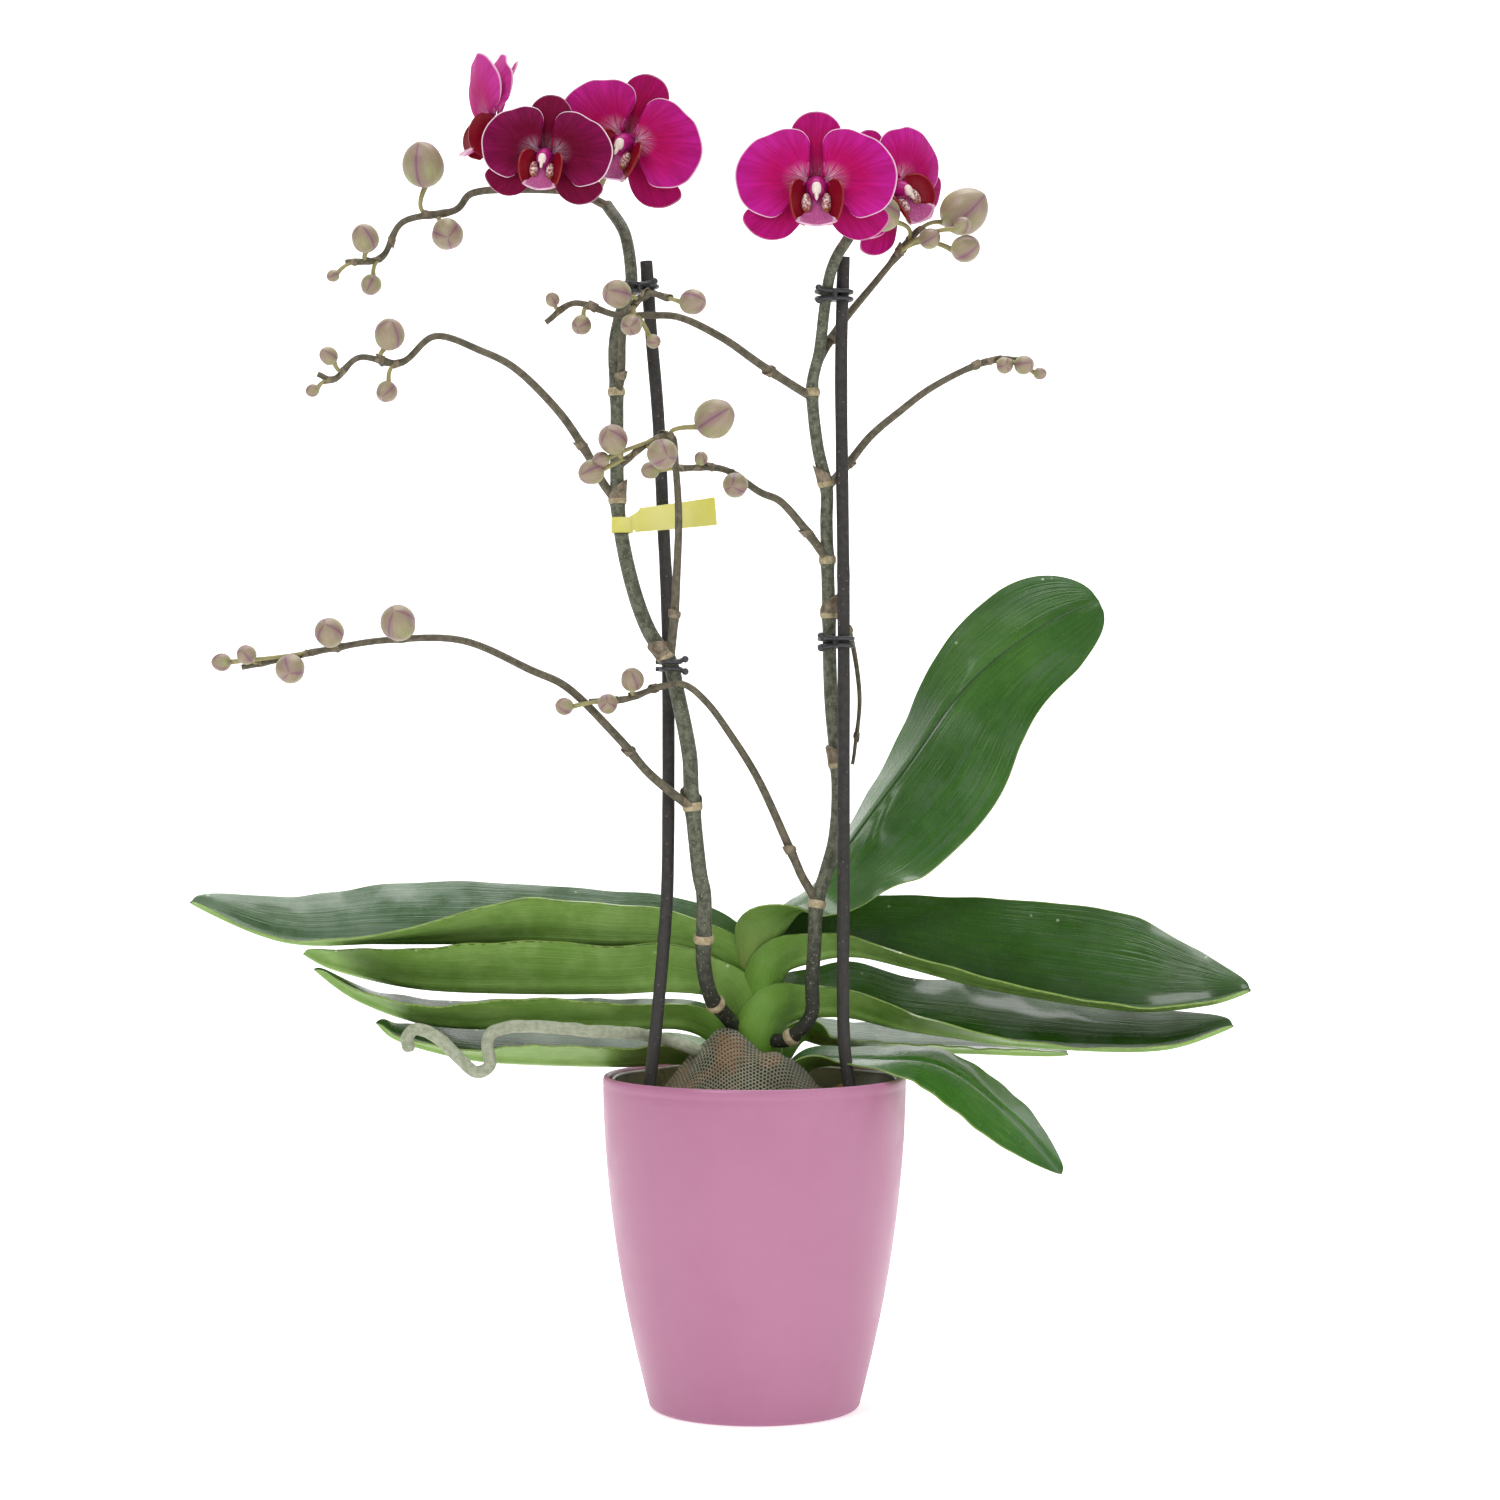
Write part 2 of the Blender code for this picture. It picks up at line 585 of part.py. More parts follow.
def make_crown(collection, plant, plug, cutters):
    """The short green stem, cut clear of the netted mound by a raised copy of it."""
    points, radii = crown_path()
    path = smooth_path(points, 7)
    widths = np.interp(np.linspace(0, 1, 7), np.linspace(0, 1, len(radii)), radii)
    crown = meshed(tube_curve("crown", path, widths, 3), collection, plant)
    link(crown, "crown", collection, plant)
    shell = bpy.data.objects.new("crown_foot_cutter", plug.data.copy())
    shell.parent = plant
    shell.location = (0, 0, 2 * GAP)
    boolean(crown, "DIFFERENCE", shell, cutters)
    return smooth_shaded(crown, 60)


def leaf_width(v, base_width, bluntness):
    """A leaf's half width along it, as a share: narrow at the crown, broad, blunt at the tip."""
    swell = np.clip(v / LEAF_BROADEST, 0, 1)
    rise = base_width + (1 - base_width) * swell**2 * (3 - 2 * swell)
    tip = np.clip((v - LEAF_BROADEST) / (1 - LEAF_BROADEST), 0, 1)
    return rise * np.sqrt(np.maximum(1 - tip**bluntness, 0))


def three_way(v, values):
    """A value that runs through three given ones, at the start, the middle and the end."""
    return np.interp(v, [0, 0.5, 1], values)


def leaf_surface(leaf, keel):
    """The surface of a leaf as a function of u across it and v along it."""
    def surface(u, v):
        rows = len(keel)
        v = 1 - (1 - np.clip(v, 0, 1)) ** LEAF_TIP_CROWDING
        place = v * (rows - 1)
        spots = np.stack([np.interp(place, np.arange(rows), keel[:, i]) for i in range(3)], 1)
        slopes = np.gradient(keel, axis=0)
        tangent = np.stack([np.interp(place, np.arange(rows), slopes[:, i])
                            for i in range(3)], 1)
        tangent /= np.linalg.norm(tangent, axis=1)[:, None]
        near = -np.array([0, 1.0, 0]) + tangent[:, 1:2] * tangent
        near /= np.linalg.norm(near, axis=1)[:, None]
        up = np.cross(near, tangent) * np.sign(tangent[:, :1])
        is_near = u < 0
        lift = np.radians(np.where(is_near, three_way(v, leaf.near_lift),
                                   three_way(v, leaf.far_lift)))
        wide = np.where(is_near, leaf.near_width, leaf.far_width) * MM
        wide = np.maximum(wide * leaf_width(v, leaf.base_width, leaf.bluntness),
                          LEAF_THICKNESS / 2) * np.abs(u)
        side = np.where(is_near, 1, -1)[:, None] * near
        bow = lift * (1 - LEAF_FLATTENING * (np.abs(u) - 0.5))
        return spots + wide[:, None] * (np.cos(bow)[:, None] * side + np.sin(bow)[:, None] * up)

    return surface


def make_leaf(leaf, collection, plant):
    """A leaf: a channelled blade, bent along its keel."""
    side = math.copysign(1.0, leaf.keel[-1][0])
    keel = smooth_path(metres(leaf.keel) + [side * CROWN_RADIUS, 0, 0], 40)
    along = 12 if len(leaf.keel) > 5 else 9
    blade = sheet(leaf.name, 4, along, leaf_surface(leaf, keel), LEAF_THICKNESS)
    return smooth_shaded(link(blade, "leaf", collection, plant))


def drooping_leaf():
    """The low right leaf, which passes over the rim and hangs down outside it."""
    past_crown = (POT_RIM_RADIUS - CROWN_RADIUS) / MM
    overhang = [(x + past_crown, y, z) for x, y, z in LOW_KEEL_OVERHANG]
    keel = LOW_KEEL_BASE + overhang
    return Leaf("leaf_right_4", keel, 29, 22, (8, -18, -38), (20, 14, 30), 0.40, 2.6)


# ---- spikes


def make_stem(side, collection, plant):
    """A flower stem, thicker at its foot."""
    path = smooth_path(metres(STEM_ROUTES[side]), STEM_POINTS)
    radii = np.interp(np.linspace(0, 1, STEM_POINTS), [0, 0.05, 0.7, 1], [0.8, 1.0, 0.95, 0.8])
    return link(tube_curve(f"spike_{side}_stem", path, radii * STEM_RADIUS), "stem",
                collection, plant)


def bud_on_stalk(name, start, centre, radius, collection, plant):
    """A bud with its arched stalk, as one tube whose radius grows into the bud."""
    axis = (centre - start) / np.linalg.norm(centre - start)
    angles = np.radians([25, 55, 90, 130, 165])
    rings = centre - 1.1 * radius * np.outer(np.cos(angles), axis)
    neck = rings[0] - start
    knee = start + 0.5 * neck + [0, 0, 0.3 * np.linalg.norm(neck)]
    path = np.vstack([start, knee, rings])
    radii = [STALK_RADIUS, STALK_RADIUS, *(radius * np.sin(angles))]
    return meshed(tube_curve(name, path, radii, 1), collection, plant)


def make_branch(name, path, radius, buds, collection, cutters, plant):
    """A branch with its buds, each on its own place along it, joined into one solid."""
    radii = np.linspace(radius, 0.6 * radius, len(path))
    branch = meshed(tube_curve(name, path, radii, 1), collection, plant)
    link(branch, "stem", collection, plant)
    nodes = smooth_path(path, PATH_POINTS)[:-4]
    for index, (x, y, z, size) in enumerate(buds):
        centre = metres((x, y, z))
        place = int(np.linalg.norm(nodes - centre, axis=1).argmin())
        bud = bud_on_stalk(f"{name}_bud_{index + 1}", nodes[place], centre, size * MM, collection,
                           plant)
        nodes = np.delete(nodes, slice(max(place - BUD_SPACING, 0), place + BUD_SPACING + 1), 0)
        boolean(branch, "UNION", bud, cutters)
    return smooth_shaded(branch, 50)


def make_branches(collection, cutters, plant, stems):
    """Every branch of both spikes, each starting a gap away from its stem."""
    for branch in BRANCHES:
        path = smooth_path(metres(branch.route), PATH_POINTS)
        path = leaving(path, stems[branch.host], STEM_RADIUS + branch.radius + GAP)
        path = smooth_path(path, BRANCH_POINTS)
        make_branch(branch.name, path, branch.radius, branch.buds, collection, cutters, plant)
    raceme = leaving(smooth_path(metres(RACEME_ROUTE), PATH_POINTS), stems["left"][-1:],
                     STEM_RADIUS)
    make_branch("spike_left_raceme", smooth_path(raceme, BRANCH_POINTS), BRANCH_RADIUS,
                RACEME_BUDS, collection, cutters, plant)


# ---- clips and label


def stadium(first, second, radius, turns=7):
    """Points round two circles of one radius, as a belt round two pulleys."""
    first, second = Vector(first), Vector(second)
    aim = (second - first).normalized()
    start = math.atan2(aim.y, aim.x)
    points = []
    for centre, begin in ((second, start - math.pi / 2), (first, start + math.pi / 2)):
        for step in range(turns + 1):
            angle = begin + math.pi * step / turns
            points.append((centre.x + radius * math.cos(angle),
                           centre.y + radius * math.sin(angle)))
    return points


def band(name, loops, height):
    """A flat band: a 2D curve of an outer and an inner loop, extruded both ways."""
    curve = bpy.data.curves.new(name, "CURVE")
    curve.dimensions = "2D"
    curve.fill_mode = "BOTH"
    curve.extrude = height / 2
    for loop in loops:
        spline = curve.splines.new("POLY")
        spline.points.add(len(loop) - 1)
        spline.points.foreach_set("co", [c for x, y in loop for c in (x, y, 0.0, 1.0)])
        spline.use_cyclic_u = True
    return bpy.data.objects.new(name, curve)


def sway(path, z, height):
    """How far a path moves sideways within a height centred on z."""
    low, high = at_height(path, z - height / 2), at_height(path, z + height / 2)
    return float(np.linalg.norm(high[:2] - low[:2]))


def make_clip(name, z, stem, stake, collection, plant):
    """A tie ring round a stem and its stake, at height z over the rim."""
    first, second = at_height(stem, z), at_height(stake, z)
    inner = max(STEM_RADIUS, STAKE_RADIUS) + CLIP_CLEARANCE + sway(stem, z, CLIP_HEIGHT) / 2
    loops = [stadium(first[:2], second[:2], radius) for radius in (inner + CLIP_WALL, inner)]
    clip = link(band(name, loops, CLIP_HEIGHT), "clip", collection, plant)
    clip.location = (0, 0, z)
    return clip


def make_tag(stem, collection, cutters, plant):
    """The plain label: a plate joined to a loop round the left stem."""
    hub = at_height(stem, TAG_HEIGHT)
    inner = STEM_RADIUS + TAG_LOOP_CLEARANCE
    outer = inner + TAG_LOOP_WALL
    loops = [stadium(hub[:2] - [GAP, 0], hub[:2] + [GAP, 0], radius) for radius in (outer, inner)]
    loop = band("plant_tag", loops, TAG_LOOP_HEIGHT)
    loop.location = (0, 0, TAG_HEIGHT)
    tag = link(meshed(loop, collection, plant), "tag", collection, plant)
    mesh = bpy.data.meshes.new("tag_plate")
    shape = bmesh.new()
    bmesh.ops.create_cube(shape, size=1.0)
    bmesh.ops.scale(shape, vec=(TAG_SIZE[0], TAG_THICKNESS, TAG_SIZE[1]), verts=shape.verts)
    shape.to_mesh(mesh)
    shape.free()
    plate = bpy.data.objects.new("tag_plate", mesh)
    plate.parent = plant
    plate.rotation_euler = (0, math.radians(-TAG_TILT), 0)
    plate.location = Vector(hub) + Vector(TAG_OFFSET) + Vector((inner + TAG_SIZE[0] / 2, 0, 0))
    return boolean(tag, "UNION", plate, cutters)


# ---- flowers


def cup(x, z, span):
    """How far a flower's face bends back towards its edge."""
    return FLOWER_CUP * (x**2 + z**2) / span


def petal_surface(side, span):
    """A broad petal on one side: a narrow claw that opens to a rounded blade."""
    def surface(u, v):
        reach = PETAL_CLAW + v * PETAL_LENGTH * (1 - 0.10 * u**2)
        blade = np.sin(np.pi * np.clip(v, 0, 1) ** 0.75) ** 0.7
        wide = PETAL_FOOT_WIDTH + PETAL_HALF_WIDTH * blade
        wide = np.where(v > 0.999, PETAL_TIP_WIDTH, wide)
        x = side * reach * span
        z = (0.02 + PETAL_RISE * v + u * wide * side) * span
        return np.stack([x, cup(x, z, span) - 0.03 * span * np.sin(np.pi * v), z], axis=1)

    return surface


def sepal_surface(span):
    """The whorl of three pointed sepals: a disc whose radius swings out once in each third."""
    def surface(u, v):
        turn = np.pi * u
        lobe = np.maximum(np.cos(1.5 * (np.mod(turn + np.pi / 3, 2 * np.pi / 3) - np.pi / 3)), 0)
        reach = v * span * (SEPAL_WAIST + SEPAL_LENGTH * lobe**1.5)
        x, z = np.sin(turn) * reach, np.cos(turn) * reach
        return np.stack([x, cup(x, z, span) + FLOWER_LAYER, z], axis=1)

    return surface


def lip_surface(span):
    """The lip: a trough whose sides stand up as two lobes, below the column."""
    def surface(u, v):
        x = LIP_HALF_WIDTH * np.sin(1.35 * u) * (1 - 0.25 * v)
        y = -LIP_SET - LIP_LENGTH * v
        z = 0.06 * v - LIP_DROP + LIP_SIDE_HEIGHT * np.abs(u) ** 2.2 * (1 - 0.35 * v)
        return span * np.stack([x, y, z], axis=1)

    return surface


def make_flower(flower, collection, cutters, plant):
    """A flower in four pieces on an empty that turns it: sepals with column, two petals, lip."""
    span = flower.span * MM
    hub = bpy.data.objects.new(f"{flower.name}_hub", None)
    collection.objects.link(hub)
    hub.parent = plant
    turn = Matrix.Rotation(math.radians(flower.turn), 4, "Z")
    nod = Matrix.Rotation(math.radians(flower.nod), 4, "X")
    roll = Matrix.Rotation(math.radians(flower.roll), 4, "Y")
    hub.matrix_local = Matrix.Translation(Vector(metres(flower.centre))) @ turn @ nod @ roll
    bpy.context.view_layer.update()

    for side, word in ((-1, "left"), (1, "right")):
        petal = sheet(f"{flower.name}_petal_{word}", 5, 5, petal_surface(side, span),
                      PETAL_THICKNESS)
        smooth_shaded(link(petal, "petal", collection, hub))
    lip = sheet(f"{flower.name}_lip", 6, 3, lip_surface(span), PETAL_THICKNESS)
    smooth_shaded(link(lip, "lip", collection, hub))

    sepals = sheet(f"{flower.name}_sepals", 24, 4, sepal_surface(span), PETAL_THICKNESS, True)
    link(sepals, "sepal", collection, hub)
    start = hub.matrix_local.inverted() @ Vector(metres(flower.stalk))
    back = np.array([0, FLOWER_LAYER + 2 * STALK_RADIUS, 0])
    knee = 0.5 * (np.array(start) + back) + [0, 4 * STALK_RADIUS, 3 * STALK_RADIUS]
    root = np.array([0, FLOWER_LAYER - STALK_RADIUS, 0])
    column = [[0, -front * span, -drop * span] for front, drop, _ in COLUMN]
    path = np.vstack([start, knee, back, root, *column])
    widths = [radius * span for _, _, radius in COLUMN]
    radii = [STALK_RADIUS, STALK_RADIUS, 1.4 * STALK_RADIUS, widths[0], *widths]
    stalk = meshed(tube_curve(f"{flower.name}_column", path, radii), collection, hub)
    boolean(sepals, "UNION", stalk, cutters)
    return smooth_shaded(sepals)


def main():
    """Build the whole plant in its pot."""
    clear_scene()
    collection = new_collection("potted_orchid")
    cutters = new_collection("cutters", hidden=True)
    plant = bpy.data.objects.new("plant_origin", None)
    collection.objects.link(plant)
    plant.location = (0, 0, POT_HEIGHT)
    bpy.context.view_layer.update()

    make_cover_pot(collection)
    make_grow_pot(collection)
    stakes = {side: stake_path(side) for side in STAKE_ROUTES}
    make_bed(collection, cutters, {side: path[1] for side, path in stakes.items()})
    plug = make_net_plug(collection, plant)
    for side, path in stakes.items():
        link(tube_curve(f"stake_{side}", path, STAKE_RADIUS), "stake", collection, plant)
    make_crown(collection, plant, plug, cutters)
    root = smooth_path(metres(ROOT_ROUTE), STEM_POINTS)
    link(tube_curve("aerial_root", root, ROOT_RADIUS), "root", collection, plant)
    for leaf in [*LEAVES, drooping_leaf()]:
        make_leaf(leaf, collection, plant)

    stems = {side: smooth_path(metres(route), 120) for side, route in STEM_ROUTES.items()}
    for side in STEM_ROUTES:
        make_stem(side, collection, plant)
    make_branches(collection, cutters, plant, stems)
    dense = {side: smooth_path(path[1:], 200) for side, path in stakes.items()}
    for side, place, z in CLIPS:
        make_clip(f"clip_{side}_{place}", z, stems[side], dense[side], collection, plant)
    make_tag(stems["left"], collection, cutters, plant)
    for flower in FLOWERS:
        make_flower(flower, collection, cutters, plant)


main()
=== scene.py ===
"""Visible model of a potted moth orchid with two flower spikes in a pink plastic cover pot.

Every place is in the part's own frame: metres, +Z up, the pot's foot at z = 0 and the viewer on
the -Y side. Route tables are in millimetres over the plane of the pot's rim.
"""

import logging
import math
from dataclasses import dataclass, field
from enum import Enum
from typing import Callable, Sequence, Union

import bmesh
import bpy
import numpy as np
from mathutils import Matrix, Vector


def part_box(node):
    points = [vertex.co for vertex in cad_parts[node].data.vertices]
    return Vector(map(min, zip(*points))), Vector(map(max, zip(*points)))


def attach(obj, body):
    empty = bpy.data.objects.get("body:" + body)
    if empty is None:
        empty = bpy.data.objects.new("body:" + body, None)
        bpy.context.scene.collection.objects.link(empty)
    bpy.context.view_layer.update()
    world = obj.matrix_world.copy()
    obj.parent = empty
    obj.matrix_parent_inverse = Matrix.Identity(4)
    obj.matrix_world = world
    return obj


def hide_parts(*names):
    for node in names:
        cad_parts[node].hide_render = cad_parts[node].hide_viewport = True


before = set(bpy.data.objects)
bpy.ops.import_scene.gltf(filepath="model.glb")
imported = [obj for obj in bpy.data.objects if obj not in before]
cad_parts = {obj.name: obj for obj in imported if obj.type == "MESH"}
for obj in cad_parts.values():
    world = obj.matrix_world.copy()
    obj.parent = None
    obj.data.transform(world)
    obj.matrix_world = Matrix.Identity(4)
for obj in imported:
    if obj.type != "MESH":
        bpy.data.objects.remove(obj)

logging.basicConfig(level=logging.INFO, format="%(message)s")
LOG = logging.getLogger("orchid")

Array = np.ndarray
Socket = bpy.types.NodeSocket
Level = Union[Socket, float]  # a number, or a socket that gives one
Tone = Union[Socket, tuple]  # a colour, or a socket that gives one
MM = 0.001
BODY = "root"
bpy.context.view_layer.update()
RIM = float(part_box("cover_pot")[1][2])
SEED = 5
WHITE = (1.0, 1.0, 1.0, 1.0)
BUMP_DEPTH = 0.0004
WELD, SLIVER = 1e-6, 1e-7  # points this close are one, and faces this thin are dropped
CURVE_STEPS, TABLE_STEPS = 24, 400  # points a curve is read at, in a span and in all


class Side(Enum):
    """The two sides of the plant, and of a flower, as seen from the front."""

    LEFT = "left"
    RIGHT = "right"


class Mark(Enum):
    """What marks a node of a stem."""

    RING = "cream ring"
    SCALE = "dry scale"


# ---------------------------------------------------------------- numbers and curves


def linear(code: str) -> tuple:
    """Turn a six-digit sRGB code into linear red, green, blue and a full alpha."""
    parts = [int(code[i:i + 2], 16) / 255 for i in (0, 2, 4)]
    return (*(c / 12.92 if c <= 0.04045 else ((c + 0.055) / 1.055) ** 2.4 for c in parts), 1.0)


def mm(points: Sequence) -> Array:
    """Turn rows of millimetres over the rim's plane into metres in the part's frame."""
    return np.asarray(points, float) * MM + [0.0, 0.0, RIM]


def lengths_along(path: Array) -> Array:
    """The length of a path up to each of its points."""
    return np.concatenate([[0], np.cumsum(np.linalg.norm(np.diff(path, axis=0), axis=1))])


def smooth(points: Array, count: int) -> Array:
    """Read a Catmull-Rom curve at even steps of its length.

    Args:
        points: Rows to pass through, of any number of columns; the first three set the length.
        count: How many rows to return.

    Returns:
        count rows along the curve.
    """
    points = np.asarray(points, float)
    ends = np.vstack([2 * points[0] - points[1], points, 2 * points[-1] - points[-2]])
    t = np.linspace(0, 1, CURVE_STEPS, endpoint=False)[None, :, None]
    a, b, c, d = (ends[i:len(ends) - 3 + i][:, None, :] for i in range(4))
    curve = 0.5 * (2 * b + (c - a) * t + (2 * a - 5 * b + 4 * c - d) * t**2
                   + (3 * b - a - 3 * c + d) * t**3)
    curve = np.vstack([curve.reshape(-1, points.shape[1]), points[-1:]])
    along = lengths_along(curve[:, :3])
    wanted = np.linspace(0, along[-1], count)
    return join(*(np.interp(wanted, along, column) for column in curve.T))


def unit(ways: Array) -> Array:
    """Scale vectors, in the last axis, to a length of 1."""
    return ways / np.linalg.norm(ways, axis=-1, keepdims=True)


def join(*values: Array | float) -> Array:
    """Broadcast values against each other and stack them in a last axis."""
    return np.stack(np.broadcast_arrays(*values), axis=-1)


def shares(count: int) -> Array:
    """Even steps from 0 to 1."""
    return np.linspace(0, 1, count)


def round_turn(count: int) -> Array:
    """Even angles from 0 to a whole turn."""
    return np.linspace(0, 2 * np.pi, count)


def bell(away: Array, reach: float) -> Array:
    """A bell curve: exp(-(away / reach)^2)."""
    return np.exp(-((away / reach) ** 2))


def bent(first: Array, knee: Array, last: Array, t: Array) -> Array:
    """A curve bent towards a knee: (1-t)^2 first + 2t(1-t) knee + t^2 last."""
    return (1 - t) ** 2 * first + 2 * t * (1 - t) * knee + t**2 * last


def polar(radius: Array | float, angle: Array, height: Array | float,
          centre: Sequence = (0.0, 0.0)) -> Array:
    """Points at x + r cos a, y + r sin a and a height, from values that broadcast."""
    return join(centre[0] + radius * np.cos(angle), centre[1] + radius * np.sin(angle), height)


def ease(x: Array, low: float, high: float) -> Array:
    """Rise smoothly from 0 at low to 1 at high, as 3t^2 - 2t^3."""
    t = np.clip((x - low) / (high - low), 0, 1)
    return t * t * (3 - 2 * t)


def ripple(points: Array, size: float, seed: int = 0) -> Array:
    """Sum five sine waves of mixed directions into a soft, repeatable unevenness.

    Args:
        points: Places, in metres, in the last axis.
        size: The longest wave, in metres.
        seed: Chooses the waves.

    Returns:
        Values of about -1 to 1 at each place.
    """
    rng = np.random.default_rng(SEED + seed)
    ways = unit(rng.normal(size=(5, 3)))
    turns = 2 * np.pi / (size * np.array([1.0, 0.71, 0.53, 0.4, 0.31]))
    waves = np.sin(points @ (ways * turns[:, None]).T + rng.uniform(0, 2 * np.pi, 5))
    return (waves * [0.35, 0.25, 0.18, 0.13, 0.09]).sum(axis=-1)


def frames(path: Array) -> tuple[Array, Array, Array]:
    """Work out a tangent and two cross directions at each point of a path.

    The cross directions come from the row axis that the path runs along least.

    Args:
        path: Points along the path.

    Returns:
        Tangents, and two unit directions square to them.
    """
    tangent = unit(np.gradient(path, axis=0))
    axis = np.eye(3)[np.abs(tangent).max(axis=0).argmin()]
    first = unit(np.cross(axis, tangent))
    return tangent, first, np.cross(tangent, first)


# ---------------------------------------------------------------- meshes


@dataclass
class Patch:
    """A grid of points with its surface coordinates, marks and material number."""

    points: Array
    uv: Array
    mark: Array
    finish: int = 0

    def moved(self, matrix: Matrix) -> "Patch":
        """Return the patch carried by a matrix."""
        m = np.array(matrix)
        return Patch(self.points @ m[:3, :3].T + m[:3, 3], self.uv, self.mark, self.finish)


def grid_uv(rows: int, columns: int) -> Array:
    """Lay surface coordinates from 0 to 1 over a grid, as rows by columns by two."""
    return join(shares(columns), shares(rows)[:, None])


def plain(points: Array, finish: int = 0, uv: Array | None = None) -> Patch:
    """Make a patch with no mark, with even surface coordinates if none are given."""
    shape = points.shape[:2]
    return Patch(points, grid_uv(*shape) if uv is None else uv, np.zeros(shape), finish)


def thick(points: Array, depth: Array | float, uv: Array, finish: int = 0,
          wrap: bool = False) -> list[Patch]:
    """Give a bent sheet a wall: two faces half a depth to each side, and a rim between them.

    A face point is the sheet's point plus or minus its unit normal, the cross product of the
    grid's two gradients, times half the depth. The second face's mark is 2.

    Args:
        points: Rows by columns by three.
        depth: Wall depth, one or one a point.
        uv: Surface coordinates.
        finish: Material number.
        wrap: Whether the last column meets the first, so that neither has a rim.

    Returns:
        The patches of the closed sheet.
    """
    normal = np.cross(np.gradient(points, axis=1), np.gradient(points, axis=0))
    if wrap:
        normal[:, [0, -1]] = (normal[:, [0]] + normal[:, [-1]]) / 2
    size = np.linalg.norm(normal, axis=-1)[..., None]
    normal = np.where(size > 1e-14, normal / np.maximum(size, 1e-14), 0.0)
    half = np.broadcast_to(depth, points.shape[:2])[..., None] / 2
    top, bottom = points + normal * half, points - normal * half
    rims = [(top[0], bottom[0], uv[0]), (bottom[-1], top[-1], uv[-1])]
    if not wrap:
        rims += [(bottom[:, 0], top[:, 0], uv[:, 0]), (top[:, -1], bottom[:, -1], uv[:, -1])]
    under = Patch(bottom[:, ::-1], uv[:, ::-1], np.full(uv.shape[:2], 2.0), finish)
    return [plain(top, finish, uv), under,
            *(plain(np.stack(rim[:2]), finish, np.stack([rim[2]] * 2)) for rim in rims)]


def tube(path: Array, radii: Array | float, sides: int = 14, finish: int = 0) -> Patch:
    """Carry a round section along a path and close both ends.

    A point is the path's point plus radius times (cos a, sin a) in the two cross directions.

    Args:
        path: Points along the tube.
        radii: Radius, one or one a point.
        sides: Points round the section.
        finish: Material number.

    Returns:
        The tube, whose v is its length in metres.
    """
    ends = np.array([0, *range(len(path)), -1])
    first, second = (way[ends][:, None] for way in frames(path)[1:])
    radii = np.broadcast_to(radii, len(path)).astype(float)[ends]
    radii[[0, -1]] = 0.0
    angle = round_turn(sides + 1)
    ring = np.cos(angle)[None, :, None] * first + np.sin(angle)[None, :, None] * second
    points = path[ends][:, None] + radii[:, None, None] * ring
    return plain(points, finish, join(shares(sides + 1), lengths_along(path)[ends][:, None]))


def egg(centre: Sequence, half: Sequence | float, finish: int = 0, sides: int = 14,
        power: float = 1.0) -> Patch:
    """A closed round shape: a sphere's latitude and longitude grid, scaled three ways.

    Args:
        centre: Its middle.
        half: Its half sides.
        finish: Material number.
        sides: Points round it.
        power: Each coordinate of the unit sphere is raised to this, its sign kept.

    Returns:
        The patch.
    """
    lat = np.linspace(-np.pi / 2, np.pi / 2, sides // 2 + 2)[:, None]
    lon = round_turn(sides + 1)[None]
    sphere = polar(np.cos(lat), lon, np.sin(lat))
    return plain(bulged(sphere, power) * half + centre, finish)


def bulged(value: Array, power: float) -> Array:
    """Raise the size of a value to a power and keep its sign."""
    return np.sign(value) * np.abs(value) ** power


def turned(profile: Array, steps: int) -> Patch:
    """Turn rows of (radius, height) about the Z axis: x = r cos a, y = r sin a."""
    points = polar(profile[:, :1], round_turn(steps + 1), profile[:, 1:])
    return plain(points, 0, join(shares(steps + 1), lengths_along(profile)[:, None]))


